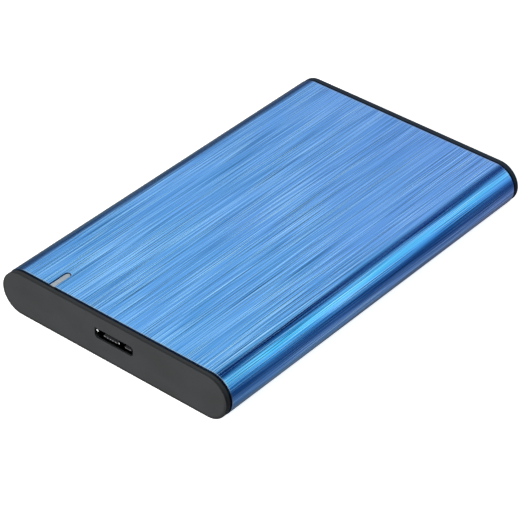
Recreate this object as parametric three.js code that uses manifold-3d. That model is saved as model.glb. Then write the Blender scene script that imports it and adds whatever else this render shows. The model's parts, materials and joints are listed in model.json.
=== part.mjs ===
// External drive: a 2.5 inch hard disk in a slim sleeve with a micro-B data port.
//
// An extruded, brushed aluminium sleeve is closed by two moulded end caps. The front cap carries
// the bridge board with its port, status light and drive receptacle, so cap, board and drive slide
// out of the sleeve together. The drive plugs onto the board. Inside the drive, platters turn on
// the spindle and the head stack swings on its pivot.
//
// Units are millimetres. +X is right seen from the front, +Y runs from the front cap to the rear
// cap and +Z is up. The origin is the centre of the underside. Inside the assembly group, y is
// measured from the front face; inside the drive group, y is measured from the drive's own front
// face and z from its underside.

import * as THREE from "three";
import { mergeVertices } from "three/addons/utils/BufferGeometryUtils.js";
import Module from "manifold-3d";

const wasm = await Module();
wasm.setup();

// ---------- driving dimensions ----------

// Case
const CASE_WIDTH = 78.1;
const CASE_HEIGHT = 13.3;
const CASE_LENGTH = 125;
const CAP_INSET = 0.1; // the sleeve stands this far outside the caps, all round
const SLEEVE_WALL = 1.1;
const FRONT_FLANGE = 1.7;
const REAR_FLANGE = 1.6;
const FRONT_SEAM = 0.35; // shadow gaps between the flanges and the sleeve
const REAR_SEAM = 0.65;
const CAP_FILLET = 0.3;
const SLEEVE_BEVEL = 0.2;
const SPIGOT_GAP = 0.15; // clearance of a cap's spigot in the sleeve
const SPIGOT_WALL = 1.2;
const SPIGOT_DEPTH = 6.4;

const CAP_WIDTH = CASE_WIDTH - 2 * CAP_INSET;
const CAP_HEIGHT = CASE_HEIGHT - 2 * CAP_INSET;
const SLEEVE_START = FRONT_FLANGE + FRONT_SEAM;
const SLEEVE_END = CASE_LENGTH - REAR_FLANGE - REAR_SEAM;
const CAVITY_WIDTH = CASE_WIDTH - 2 * SLEEVE_WALL;
const CAVITY_HEIGHT = CASE_HEIGHT - 2 * SLEEVE_WALL;
const CAVITY_TOP = CASE_HEIGHT / 2 + CAVITY_HEIGHT / 2;
const CAVITY_BOTTOM = CASE_HEIGHT / 2 - CAVITY_HEIGHT / 2;

// Light slot and light pipe, in the sleeve's top near the front left
const SLOT_X = -22.6;
const SLOT_WIDTH = 2.2;
const SLOT_END = 9.15;
const PIPE_GAP = 0.15;
const PIPE_SUNK = 0.3; // top of the light pipe below the sleeve's top

// Bridge board
const BOARD = { left: -34, right: 12.6, front: 2, back: 11.8, bottom: 5.4, top: 6.4 };
const BOARD_SCREWS = [-31.3, 9.9];
const BOARD_SCREW_Y = 9.4;
const SOLDER = 0.03; // gap under a soldered component

// Data port
const PORT_X = 0.9;
const PORT_Z = 7.8;
const PORT_WIDTH = 13.3;
const PORT_HEIGHT = 3.1;
const PORT_SHELL = { halfWidth: 6.2, halfHeight: 1.32, wall: 0.25, front: 0.25, back: 6.6 };
const PORT_FOLD = { left: 1.7, right: 2.7, depth: 1.05 }; // dent in the shell's top, from PORT_X
const PORT_TONGUES = [
  [-4.2, 0.8],
  [3.2, 5.5],
];
const PORT_TONGUE_FRONT = 0.75;
const PORT_TONGUE_HEIGHT = [-0.65, -0.1]; // from the middle of the shell's height

// Drive and the connector between board and drive
const DRIVE_WIDTH = 69.85;
const DRIVE_LENGTH = 100.35;
const DRIVE_HEIGHT = 9.5;
const DRIVE_FRONT = 15.6;
const DRIVE_BOTTOM = 1.85;
const LINK_X = -11;
const LINK_Z = 3.5; // tongue height above the drive's underside
const LINK_TONGUE = 1.2;
const LINK_ENGAGEMENT = 5;
const POWER_TONGUE = [-16.7, 4.1]; // ends of the two tongues, measured from LINK_X
const SIGNAL_TONGUE = [6.3, 16.7];
const TONGUE_FOOT = 0.7; // how far the short leg of each L reaches below its tongue
const RECEPTACLE = { halfWidth: 18.9, nose: [-1.9, 2.4], collar: [-2.3, 2.9], collarWider: 1.6 };

// Inside the drive
const SPINDLE = { x: 0, y: 64.95 };
const PIVOT = { x: 16, y: 23.45 };
const FLOOR = 2.95;
const BASE_TOP = 8.8;
const COVER_BOTTOM = 8.95;
const PLATTER_RADIUS = 32.5;
const PLATTER_HOLE = 10;
const PLATTER_THICKNESS = 0.8;
const LOWER_PLATTER_Z = 4.05;
const UPPER_PLATTER_Z = 6.65;
const HEAD_RADIUS = 38; // pivot to head
const PARKED_ANGLE = THREE.MathUtils.degToRad(160); // arm's direction when parked
const CIRCUIT = { bottom: 0.6, top: 1.4, back: 50 };
const FIT = 0.05; // gap between pieces that are bolted, pressed or glued together

// ---------- materials ----------

const finish = (color, roughness, metalness) =>
  new THREE.MeshStandardMaterial({ color, roughness, metalness });

const blueAluminium = finish(0x2f7ad2, 0.35, 0.9);
const blackPlastic = finish(0x2c2d2f, 0.6, 0);
const frostedLight = finish(0xb9bcbf, 0.5, 0);
const boardGreen = finish(0x14503a, 0.5, 0);
const plainSteel = finish(0xb8babd, 0.3, 1);
const connectorBlack = finish(0x161618, 0.55, 0);
const chipBlack = finish(0x1b1c1e, 0.6, 0);
const ceramicTan = finish(0x9c8468, 0.6, 0);
const ferriteGrey = finish(0x4a4b4f, 0.7, 0.1);
const foamBlack = finish(0x202022, 0.95, 0);
const castAluminium = finish(0x9a9ca0, 0.5, 0.8);
const sheetSteel = finish(0xc4c6c9, 0.35, 0.95);
const platterMirror = finish(0xdadcde, 0.05, 1);
const machinedAluminium = finish(0xaeb1b5, 0.35, 0.9);
const copper = finish(0xb5703c, 0.4, 0.9);
const magnetNickel = finish(0x8e9094, 0.3, 1);
const gasketRubber = finish(0x242426, 0.9, 0);
const rampWhite = finish(0xe6e2d8, 0.5, 0);
const screwSteel = finish(0x8c8e92, 0.35, 1);
const lampYellow = finish(0xe8e2b0, 0.5, 0);

// ---------- shape helpers ----------

// A closed three.js geometry as a solid that can be cut and joined.
function solid(geometry) {
  const bare = geometry.index ? geometry.toNonIndexed() : geometry.clone();
  bare.deleteAttribute("normal");
  bare.deleteAttribute("uv");
  const merged = mergeVertices(bare, 1e-4);
  return new wasm.Manifold(
    new wasm.Mesh({
      numProp: 3,
      vertProperties: merged.attributes.position.array,
      triVerts: new Uint32Array(merged.index.array),
    }),
  );
}

// A solid as a three.js geometry with flat shading.
function geometryOf(body) {
  const mesh = body.getMesh();
  const positions = new Float32Array(mesh.numVert * 3);
  for (let i = 0; i < mesh.numVert; i++) {
    const start = i * mesh.numProp;
    positions.set(mesh.vertProperties.subarray(start, start + 3), i * 3);
  }
  const indexed = new THREE.BufferGeometry();
  indexed.setAttribute("position", new THREE.BufferAttribute(positions, 3));
  indexed.setIndex(new THREE.BufferAttribute(new Uint32Array(mesh.triVerts), 1));
  const flat = indexed.toNonIndexed();
  flat.computeVertexNormals();
  return flat;
}

const join = (...bodies) => bodies.reduce((all, body) => all.add(body));
const cut = (body, ...tools) => tools.reduce((rest, tool) => rest.subtract(tool), body);

function box([x0, x1], [y0, y1], [z0, z1]) {
  const block = new THREE.BoxGeometry(x1 - x0, y1 - y0, z1 - z0);
  block.translate((x0 + x1) / 2, (y0 + y1) / 2, (z0 + z1) / 2);
  return solid(block);
}

// An upright cylinder, or a cone when the top radius differs.
function post(x, y, [z0, z1], radius, topRadius = radius, sides = 24) {
  const cylinder = new THREE.CylinderGeometry(topRadius, radius, z1 - z0, sides);
  cylinder.rotateX(Math.PI / 2);
  cylinder.translate(x, y, (z0 + z1) / 2);
  return solid(cylinder);
}

function ring(x, y, [z0, z1], inner, outer, sides = 48) {
  return cut(
    post(x, y, [z0, z1], outer, outer, sides),
    post(x, y, [z0 - 1, z1 + 1], inner, inner, sides),
  );
}

// A cylinder along X, for holes in the drive's sides.
function sidewaysPost([x0, x1], y, z, radius) {
  const cylinder = new THREE.CylinderGeometry(radius, radius, x1 - x0, 16);
  cylinder.rotateZ(Math.PI / 2);
  cylinder.translate((x0 + x1) / 2, y, z);
  return solid(cylinder);
}

// A shape drawn in X and Y, standing from z0 to z1.
function slab(shape, [z0, z1], curveSegments = 3) {
  const block = new THREE.ExtrudeGeometry(shape, {
    depth: z1 - z0,
    bevelEnabled: false,
    curveSegments,
  });
  block.translate(0, 0, z0);
  return solid(block);
}

// A shape drawn in X and Z, running from y0 to y1. A bevel rounds both ends.
function bar(shape, [y0, y1], bevel = 0, bevelSegments = 1, curveSegments = 10) {
  const run = new THREE.ExtrudeGeometry(shape, {
    depth: y1 - y0 - 2 * bevel,
    bevelEnabled: bevel > 0,
    bevelThickness: bevel,
    bevelSize: bevel,
    bevelOffset: -bevel,
    bevelSegments,
    curveSegments,
  });
  run.rotateX(Math.PI / 2);
  run.translate(0, y1 - bevel, 0);
  return solid(run);
}

function polygon(points) {
  return new THREE.Shape(points.map(([x, y]) => new THREE.Vector2(x, y)));
}

// An anticlockwise outline with every side moved outwards by the same distance.
function grown(points, distance) {
  const count = points.length;
  const sideways = points.map(([x, y], i) => {
    const [nextX, nextY] = points[(i + 1) % count];
    return new THREE.Vector2(nextY - y, x - nextX).normalize();
  });
  return points.map(([x, y], i) => {
    const before = sideways[(i + count - 1) % count];
    const after = sideways[i];
    const reach = distance / (1 + before.dot(after));
    return [x + (before.x + after.x) * reach, y + (before.y + after.y) * reach];
  });
}

function roundedRectangle([x0, x1], [y0, y1], radius) {
  const shape = new THREE.Shape();
  shape.moveTo(x0 + radius, y0);
  shape.lineTo(x1 - radius, y0);
  shape.absarc(x1 - radius, y0 + radius, radius, -Math.PI / 2, 0);
  shape.lineTo(x1, y1 - radius);
  shape.absarc(x1 - radius, y1 - radius, radius, 0, Math.PI / 2);
  shape.lineTo(x0 + radius, y1);
  shape.absarc(x0 + radius, y1 - radius, radius, Math.PI / 2, Math.PI);
  shape.lineTo(x0, y0 + radius);
  shape.absarc(x0 + radius, y0 + radius, radius, Math.PI, 1.5 * Math.PI);
  return shape;
}

// The case's cross-section: flat top and bottom with half-round sides, centred on the case.
function stadium(width, height) {
  const radius = height / 2;
  const middle = CASE_HEIGHT / 2;
  const straight = width / 2 - radius;
  const shape = new THREE.Shape();
  shape.moveTo(-straight, middle - radius);
  shape.lineTo(straight, middle - radius);
  shape.absarc(straight, middle, radius, -Math.PI / 2, Math.PI / 2);
  shape.lineTo(-straight, middle + radius);
  shape.absarc(-straight, middle, radius, Math.PI / 2, 1.5 * Math.PI);
  return shape;
}

// A ring sector round the origin, between two radii and two angles in degrees.
function sector(inner, outer, fromDegrees, toDegrees) {
  const from = THREE.MathUtils.degToRad(fromDegrees);
  const to = THREE.MathUtils.degToRad(toDegrees);
  const shape = new THREE.Shape();
  shape.absarc(0, 0, outer, from, to, false);
  shape.absarc(0, 0, inner, to, from, true);
  return shape;
}

function part(name, body, material) {
  const mesh = new THREE.Mesh(geometryOf(body), material);
  mesh.name = name;
  return mesh;
}

function group(x, y, z, ...members) {
  const made = new THREE.Group();
  made.position.set(x, y, z);
  made.add(...members);
  return made;
}

// A screw standing on its head's underside: head above z = 0, shank below, with a cross recess.
function screw(headRadius, headHeight, shankRadius, shankLength) {
  const recess = headRadius * 0.55;
  const slot = headRadius * 0.14;
  const depth = headHeight * 0.6;
  const top = [headHeight - depth, headHeight + 1];
  return cut(
    join(
      post(0, 0, [0, headHeight], headRadius, headRadius * 0.8, 16),
      post(0, 0, [-shankLength, 0.01], shankRadius * 0.8, shankRadius, 10),
    ),
    box([-recess, recess], [-slot, slot], top),
    box([-slot, slot], [-recess, recess], top),
  );
}

// ---------- case ----------

function outerSleeve() {
  const outer = bar(stadium(CASE_WIDTH, CASE_HEIGHT), [SLEEVE_START, SLEEVE_END], SLEEVE_BEVEL);
  const inner = bar(stadium(CAVITY_WIDTH, CAVITY_HEIGHT), [SLEEVE_START - 1, SLEEVE_END + 1]);
  const half = SLOT_WIDTH / 2;
  const through = [CAVITY_TOP - 1, CASE_HEIGHT + 1];
  const slot = join(
    box([SLOT_X - half, SLOT_X + half], [SLEEVE_START - 1, SLOT_END - half], through),
    post(SLOT_X, SLOT_END - half, through, half, half, 20),
  );
  return part("outer_sleeve", cut(outer, inner, slot), blueAluminium);
}

const SPIGOT_WIDTH = CAVITY_WIDTH - 2 * SPIGOT_GAP;
const SPIGOT_HEIGHT = CAVITY_HEIGHT - 2 * SPIGOT_GAP;
const SPIGOT_BOTTOM = CAVITY_BOTTOM + SPIGOT_GAP;
const SPIGOT_TOP = CAVITY_TOP - SPIGOT_GAP;

function spigot(range) {
  const [from, to] = range;
  return cut(
    bar(stadium(SPIGOT_WIDTH, SPIGOT_HEIGHT), range),
    bar(
      stadium(SPIGOT_WIDTH - 2 * SPIGOT_WALL, SPIGOT_HEIGHT - 2 * SPIGOT_WALL),
      [from - 1, to + 1],
    ),
  );
}

// The port's opening in the front wall, with its two lower corners cut off as on the plug.
function portOpening() {
  const x0 = PORT_X - PORT_WIDTH / 2;
  const x1 = PORT_X + PORT_WIDTH / 2;
  const z0 = PORT_Z - PORT_HEIGHT / 2;
  const z1 = PORT_Z + PORT_HEIGHT / 2;
  const corner = 0.6;
  const nick = 0.2;
  const shape = polygon([
    [x0 + corner, z0],
    [x1 - corner, z0],
    [x1, z0 + corner],
    [x1, z1 - nick],
    [x1 - nick, z1],
    [x0 + nick, z1],
    [x0, z1 - nick],
    [x0, z0 + corner],
  ]);
  return bar(shape, [-1, FRONT_FLANGE + 1]);
}

const PIPE_STEM = { width: 1.4, front: 3.4, back: 6.6, bottom: 7.4 };
const SHELF_TOP = SPIGOT_BOTTOM + 1;
const SHELF_BACK = 13.4;
const BOSS_RADIUS = 2;
const PILOT_RADIUS = 0.85;

function frontCap() {
  const spigotEnd = FRONT_FLANGE + SPIGOT_DEPTH;
  const flange = bar(stadium(CAP_WIDTH, CAP_HEIGHT), [0, FRONT_FLANGE], CAP_FILLET, 2);
  const shelf = box([-33, 13], [FRONT_FLANGE - 0.5, SHELF_BACK], [SPIGOT_BOTTOM, SHELF_TOP]);
  const pipeSeat = box(
    [SLOT_X - 2.2, SLOT_X + 2.2],
    [spigotEnd - 1, SLOT_END + 0.6],
    [SPIGOT_TOP - SPIGOT_WALL, SPIGOT_TOP],
  );
  const bosses = BOARD_SCREWS.map((x) =>
    post(x, BOARD_SCREW_Y, [SHELF_TOP - 0.5, BOARD.bottom - SOLDER], BOSS_RADIUS),
  );
  const pilots = BOARD_SCREWS.map((x) =>
    post(x, BOARD_SCREW_Y, [SHELF_TOP, BOARD.bottom + 1], PILOT_RADIUS, PILOT_RADIUS, 12),
  );
  const stemHole = box(
    [SLOT_X - PIPE_STEM.width / 2 - PIPE_GAP, SLOT_X + PIPE_STEM.width / 2 + PIPE_GAP],
    [PIPE_STEM.front - PIPE_GAP, PIPE_STEM.back + PIPE_GAP],
    [SPIGOT_TOP - 2 * SPIGOT_WALL, SPIGOT_TOP + 1],
  );
  return part(
    "front_cap",
    cut(
      join(flange, spigot([FRONT_FLANGE - 0.5, spigotEnd]), shelf, pipeSeat, ...bosses),
      portOpening(),
      stemHole,
      ...pilots,
    ),
    blackPlastic,
  );
}

function rearCap() {
  const flangeStart = CASE_LENGTH - REAR_FLANGE;
  const flange = bar(stadium(CAP_WIDTH, CAP_HEIGHT), [flangeStart, CASE_LENGTH], CAP_FILLET, 2);
  const skirt = spigot([flangeStart - SPIGOT_DEPTH, flangeStart + 0.5]);
  // the drive's tail needs this room as it is unplugged
  const driveRoom = box(
    [-DRIVE_WIDTH / 2 - 0.3, DRIVE_WIDTH / 2 + 0.3],
    [flangeStart - SPIGOT_DEPTH - 1, flangeStart],
    [DRIVE_BOTTOM - 0.25, DRIVE_BOTTOM + DRIVE_HEIGHT + 0.25],
  );
  return part("rear_cap", join(flange, cut(skirt, driveRoom)), blackPlastic);
}

// A rounded bar lying in the sleeve's slot, with a stem down to the lamp on the board.
function lightPipe() {
  const half = SLOT_WIDTH / 2 - PIPE_GAP;
  const top = CASE_HEIGHT - PIPE_SUNK;
  const barHeight = [SPIGOT_TOP + SOLDER, top];
  const endCentre = SLOT_END - SLOT_WIDTH / 2;
  const body = join(
    box([SLOT_X - half, SLOT_X + half], [SLEEVE_START, endCentre], barHeight),
    post(SLOT_X, endCentre, barHeight, half, half, 20),
    box(
      [SLOT_X - PIPE_STEM.width / 2, SLOT_X + PIPE_STEM.width / 2],
      [PIPE_STEM.front, PIPE_STEM.back],
      [PIPE_STEM.bottom, SPIGOT_TOP + 0.5],
    ),
  );
  return part("status_light_pipe", body, frostedLight);
}

// ---------- bridge board ----------

function bridgeBoard() {
  const outline = roundedRectangle([BOARD.left, BOARD.right], [BOARD.front, BOARD.back], 0.8);
  const holes = BOARD_SCREWS.map((x) => post(x, BOARD_SCREW_Y, [0, CASE_HEIGHT], 1.1, 1.1, 14));
  return part(
    "bridge_board",
    cut(slab(outline, [BOARD.bottom, BOARD.top]), ...holes),
    boardGreen,
  );
}

function boardScrews() {
  return BOARD_SCREWS.map((x, i) => {
    const made = part(`board_screw_${i + 1}`, screw(1.9, 1, 0.8, 2.9), screwSteel);
    made.position.set(x, BOARD_SCREW_Y, BOARD.top + SOLDER);
    return made;
  });
}

// The port shell's outline: a wide chamber and a narrow one, parted by a fold in the top.
function portOutline(inset) {
  const width = PORT_SHELL.halfWidth - inset;
  const height = PORT_SHELL.halfHeight - inset;
  const left = PORT_FOLD.left - inset;
  const right = PORT_FOLD.right + inset;
  const middle = (left + right) / 2;
  const tip = 0.25 + inset / 2; // half the fold's flat bottom
  const corner = 0.55;
  const nick = 0.25;
  return polygon([
    [-width + corner, -height],
    [width - corner, -height],
    [width, -height + corner],
    [width, height - nick],
    [width - nick, height],
    [right, height],
    [middle + tip, height - PORT_FOLD.depth],
    [middle - tip, height - PORT_FOLD.depth],
    [left, height],
    [-width + nick, height],
    [-width, height - nick],
    [-width, -height + corner],
  ]);
}

function portShell() {
  const { wall, front, back } = PORT_SHELL;
  const body = cut(
    bar(portOutline(0), [front, back]),
    bar(portOutline(wall), [front - 1, back - wall]),
  );
  const made = part("port_shell", body, plainSteel);
  made.position.set(PORT_X, 0, BOARD.top + SOLDER + PORT_SHELL.halfHeight);
  return made;
}

// Moulded insulator: a back block with the two contact tongues.
function portInsulator() {
  const blockFront = 4.6;
  const clear = PORT_SHELL.wall + FIT;
  const body = join(
    bar(portOutline(clear), [blockFront, PORT_SHELL.back - PORT_SHELL.wall - FIT]),
    ...PORT_TONGUES.map((width) =>
      box(width, [PORT_TONGUE_FRONT, blockFront + 0.5], PORT_TONGUE_HEIGHT),
    ),
  );
  const made = part("port_insulator", body, connectorBlack);
  made.position.set(PORT_X, 0, BOARD.top + SOLDER + PORT_SHELL.halfHeight);
  return made;
}

// The two L-shaped tongues of the drive's connector, running along y. Grow thickens them all round.
function linkTongues([y0, y1], grow) {
  const half = LINK_TONGUE / 2 + grow;
  return [POWER_TONGUE, SIGNAL_TONGUE].map(([from, to]) =>
    join(
      box([from - grow, to + grow], [y0, y1], [-half, half]),
      box([from - grow, from + LINK_TONGUE + grow], [y0, y1], [-half - TONGUE_FOOT, 0]),
    ),
  );
}

// The female connector on the board, whose nose enters the drive's front.
function driveReceptacle() {
  const back = BOARD.back + FIT;
  const nose = DRIVE_FRONT + LINK_ENGAGEMENT;
  const { halfWidth, collarWider } = RECEPTACLE;
  const collarHalf = halfWidth + collarWider;
  const body = cut(
    join(
      box([-halfWidth, halfWidth], [back, nose], RECEPTACLE.nose),
      box([-collarHalf, collarHalf], [back, DRIVE_FRONT - 0.8], RECEPTACLE.collar),
    ),
    ...linkTongues([nose - LINK_ENGAGEMENT - 0.6, nose + 1], 0.15),
  );
  const made = part("drive_receptacle", body, connectorBlack);
  made.position.set(LINK_X, 0, DRIVE_BOTTOM + LINK_Z);
  return made;
}

// Small components soldered to the board's top: name, centre x and y, size, material.
function boardComponents() {
  const list = [
    ["bridge_controller_chip", -13.2, 7.2, [6, 6, 0.85], chipBlack],
    ["firmware_memory_chip", -20.6, 9.4, [4.9, 3.9, 1.3], chipBlack],
    ["clock_crystal", -7.9, 9.8, [3.2, 2.5, 0.8], plainSteel],
    ["power_inductor", -27.2, 5.6, [3, 3, 1.5], ferriteGrey],
    ["voltage_regulator", -27.2, 10.6, [2.9, 1.6, 1.1], chipBlack],
    ["input_capacitor", 2.6, 9.6, [3.2, 1.6, 1.3], ceramicTan],
    ["output_capacitor", -2.6, 9.6, [3.2, 1.6, 1.3], ceramicTan],
  ];
  const seat = BOARD.top + SOLDER;
  return list.map(([name, x, y, [w, d, h], material]) => {
    const bevel = 0.12;
    const top = roundedRectangle([-w / 2, w / 2], [-d / 2, d / 2], bevel);
    const made = part(name, slab(top, [0, h], 1), material);
    made.position.set(x, y, seat);
    return made;
  });
}

function statusLamp() {
  const lamp = join(
    box([-0.8, 0.8], [-0.4, 0.4], [0, 0.3]),
    box([-0.55, 0.55], [-0.38, 0.38], [0.2, 0.75]),
  );
  const made = part("status_led", lamp, lampYellow);
  made.position.set(SLOT_X, (PIPE_STEM.front + PIPE_STEM.back) / 2, BOARD.top + SOLDER);
  return made;
}

// ---------- drive: casting, cover and electronics ----------

const COVER_SCREWS = [
  [-31.8, 3.4],
  [32.2, 3],
  [-31.6, 33],
  [31.2, 40],
  [-31.2, 96.6],
  [31.2, 96.6],
];
const CIRCUIT_SCREWS = [
  [-31, 13.2],
  [31, 6.4],
  [-30.5, 45.5],
  [30.5, 45.5],
];
const LINK_NOTCH = { halfWidth: 20.8, back: 9.8, top: 6.5 };

const WELL_RADIUS = 33.3; // the round well for the platters
const POCKET = [
  [10.5, 2],
  [28.6, 2],
  [33, 6.6],
  [33, 33],
  [26, 33],
  [26, 52],
  [-24, 52],
  [-28, 46],
  [-28, 12],
  [10.5, 12],
];

// The casting's cavity, seen from above: the platters' well and the actuator's pocket beside it.
function cavity(z, growth) {
  const radius = WELL_RADIUS + growth;
  return join(
    post(SPINDLE.x, SPINDLE.y, z, radius, radius, 60),
    slab(polygon(grown(POCKET, growth)), z),
  );
}

function driveBase() {
  const half = DRIVE_WIDTH / 2;
  const outline = roundedRectangle([-half, half], [0, DRIVE_LENGTH], 2.2);
  const above = [FLOOR, DRIVE_HEIGHT + 1];
  const notch = box(
    [LINK_X - LINK_NOTCH.halfWidth, LINK_X + LINK_NOTCH.halfWidth],
    [-1, LINK_NOTCH.back],
    [-1, LINK_NOTCH.top],
  );
  const rail = 1.8;
  const circuitRecess = cut(
    box([-half + rail, half - rail], [-1, CIRCUIT.back + 0.4], [-1, FLOOR - 0.55]),
    ...CIRCUIT_SCREWS.map(([x, y]) => post(x, y, [CIRCUIT.top + SOLDER, FLOOR], 2.3, 2.3, 14)),
    box([half - rail - 4.6, half], [-1, 1.2], [-1, FLOOR]),
  );
  const undersideRelief = cut(
    box([-half + rail, half - rail], [CIRCUIT.back + 0.4, DRIVE_LENGTH - 2.4], [-1, 0.9]),
    post(SPINDLE.x, SPINDLE.y, [0.3, 1], 13, 13, 32),
  );
  const screwHoles = COVER_SCREWS.map(([x, y]) => post(x, y, [6.8, 12], 0.85, 0.85, 10));
  const circuitHoles = CIRCUIT_SCREWS.map(([x, y]) => post(x, y, [0, 2.7], 0.85, 0.85, 10));
  const sideHoles = [14, 90.6].flatMap((y) => [
    sidewaysPost([-half - 1, -half + 1.3], y, 3, 1.25),
    sidewaysPost([half - 1.3, half + 1], y, 3, 1.25),
  ]);
  const body = cut(
    slab(outline, [0, BASE_TOP]),
    cavity(above, 0),
    notch,
    circuitRecess,
    undersideRelief,
    post(SPINDLE.x, SPINDLE.y, [-1, 4], 3.25, 3.25, 24),
    ...screwHoles,
    ...circuitHoles,
    ...sideHoles,
  );
  return part("drive_base", body, castAluminium);
}

const COVER_PRESS = { inner: 24, outer: 29, depth: 0.25 }; // pressed ring over the platters
const GASKET_WIDTH = 0.85;

function driveCover() {
  const half = DRIVE_WIDTH / 2 - 0.15;
  const outline = roundedRectangle([-half, half], [0.15, DRIVE_LENGTH - 0.15], 2.1);
  const holes = COVER_SCREWS.map(([x, y]) => post(x, y, [0, 12], 1, 1, 12));
  const sinks = COVER_SCREWS.map(([x, y]) =>
    post(x, y, [DRIVE_HEIGHT - 0.35, DRIVE_HEIGHT + 0.05], 1.15, 1.95, 16),
  );
  const pressedRing = ring(
    SPINDLE.x,
    SPINDLE.y,
    [DRIVE_HEIGHT - COVER_PRESS.depth, DRIVE_HEIGHT + 1],
    COVER_PRESS.inner,
    COVER_PRESS.outer,
    40,
  );
  return part(
    "drive_cover",
    cut(slab(outline, [COVER_BOTTOM, DRIVE_HEIGHT]), pressedRing, ...holes, ...sinks),
    sheetSteel,
  );
}

// The seal runs along the casting's rim, inside the cover screws.
function coverGasket() {
  const rim = [BASE_TOP + FIT / 2, COVER_BOTTOM - FIT / 2];
  const body = cut(cavity(rim, GASKET_WIDTH), cavity([0, DRIVE_HEIGHT], FIT));
  return part("cover_gasket", body, gasketRubber);
}

function coverScrews() {
  return COVER_SCREWS.map(([x, y], i) => {
    const head = post(0, 0, [0, 0.3], 1.08, 1.8, 16);
    const shank = post(0, 0, [-2.3, 0.05], 0.7, 0.78, 10);
    const socket = post(0, 0, [0.05, 1], 0.6, 0.6, 6);
    const made = part(`cover_screw_${i + 1}`, cut(join(head, shank), socket), screwSteel);
    made.position.set(x, y, DRIVE_HEIGHT - 0.32);
    return made;
  });
}

function driveCircuit() {
  const half = DRIVE_WIDTH / 2 - 2;
  const outline = polygon([
    [-half, 0.6],
    [half - 4.8, 0.6],
    [half - 4.8, 2],
    [half, 2],
    [half, 38],
    [half - 3.4, 41.5],
    [half, 41.5],
    [half, CIRCUIT.back],
    [18, CIRCUIT.back],
    [14, 46],
    [-14, 46],
    [-18, CIRCUIT.back],
    [-half, CIRCUIT.back],
  ]);
  const holes = CIRCUIT_SCREWS.map(([x, y]) => post(x, y, [0, 3], 1.1, 1.1, 14));
  return part(
    "drive_circuit_board",
    cut(slab(outline, [CIRCUIT.bottom, CIRCUIT.top]), ...holes),
    boardGreen,
  );
}

function circuitScrews() {
  return CIRCUIT_SCREWS.map(([x, y], i) => {
    const made = part(`circuit_screw_${i + 1}`, screw(1.7, 0.45, 0.78, 2), screwSteel);
    made.rotation.x = Math.PI;
    made.position.set(x, y, CIRCUIT.bottom - SOLDER);
    return made;
  });
}

// Chips sit on the circuit board's inner face, under the casting.
function circuitChips() {
  const list = [
    ["drive_processor_chip", -8, 26, [12, 12, 0.85]],
    ["drive_cache_chip", 10, 27, [8, 10, 0.8]],
    ["motor_driver_chip", -19, 36, [7, 7, 0.8]],
  ];
  return list.map(([name, x, y, [w, d, h]]) => {
    const made = part(
      name,
      slab(roundedRectangle([-w / 2, w / 2], [-d / 2, d / 2], 0.3), [0, h], 1),
      chipBlack,
    );
    made.position.set(x, y, CIRCUIT.top + SOLDER);
    return made;
  });
}

// The drive's half of the connector: a shroud with the two tongues.
function drivePlug() {
  const halfWidth = LINK_NOTCH.halfWidth - 0.2;
  const back = LINK_NOTCH.back - 0.2;
  const face = LINK_ENGAGEMENT + 0.25;
  const bottom = CIRCUIT.top + SOLDER - LINK_Z;
  const top = LINK_NOTCH.top - LINK_Z - 0.2;
  const body = join(
    box([-halfWidth, halfWidth], [face, back], [bottom, top]),
    box([-halfWidth, -halfWidth + 1.2], [0.6, face + 0.5], [bottom, top]),
    box([halfWidth - 1.2, halfWidth], [0.6, face + 0.5], [bottom, top]),
    ...linkTongues([0.3, face + 0.5], 0),
  );
  const made = part("drive_plug", body, connectorBlack);
  made.position.set(LINK_X, 0, LINK_Z);
  return made;
}

function drivePad() {
  const made = part(
    "drive_pad",
    slab(roundedRectangle([-26, 26], [-17, 17], 2), [0, 0.7]),
    foamBlack,
  );
  made.position.set(0, 72, DRIVE_HEIGHT + SOLDER);
  return made;
}

// ---------- drive: spindle ----------

function bearingSleeve() {
  const body = cut(
    post(0, 0, [0.5, 5.3], 3.2, 3.2, 24),
    post(0, 0, [1.2, 6], 1.56, 1.56, 24),
  );
  return part("spindle_bearing", body, machinedAluminium);
}

// Nine wound teeth round the bearing.
function stator() {
  const slots = 9;
  const tooth = box([4.6, 8], [-0.75, 0.75], [3.5, 5.3]);
  const teeth = Array.from({ length: slots }, (_, i) => tooth.rotate([0, 0, (360 * i) / slots]));
  return part("motor_stator", join(ring(0, 0, [3.1, 5.6], 3.3, 5.2, 36), ...teeth), copper);
}

function spindleHub() {
  const profile = [
    [0, 1.4],
    [1.5, 1.4],
    [1.5, 6.1],
    [8.5, 6.1],
    [8.5, 3.5],
    [12.3, 3.5],
    [12.3, LOWER_PLATTER_Z - 0.02],
    [PLATTER_HOLE - FIT, LOWER_PLATTER_Z - 0.02],
    [PLATTER_HOLE - FIT, UPPER_PLATTER_Z + PLATTER_THICKNESS],
    [1, UPPER_PLATTER_Z + PLATTER_THICKNESS],
    [1, 6.5],
    [0, 6.5],
  ];
  const turned = new THREE.LatheGeometry(
    profile.map(([r, z]) => new THREE.Vector2(r, z)),
    30,
  );
  turned.rotateX(Math.PI / 2);
  return part("spindle_hub", solid(turned), machinedAluminium);
}

function platter(name, z) {
  return part(
    name,
    ring(0, 0, [z, z + PLATTER_THICKNESS], PLATTER_HOLE, PLATTER_RADIUS, 60),
    platterMirror,
  );
}

function platterSpacer() {
  const range = [LOWER_PLATTER_Z + PLATTER_THICKNESS + 0.02, UPPER_PLATTER_Z - 0.02];
  return part("platter_spacer", ring(0, 0, range, PLATTER_HOLE, 12, 30), machinedAluminium);
}

const CLAMP_Z = UPPER_PLATTER_Z + PLATTER_THICKNESS + 0.02;

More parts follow.
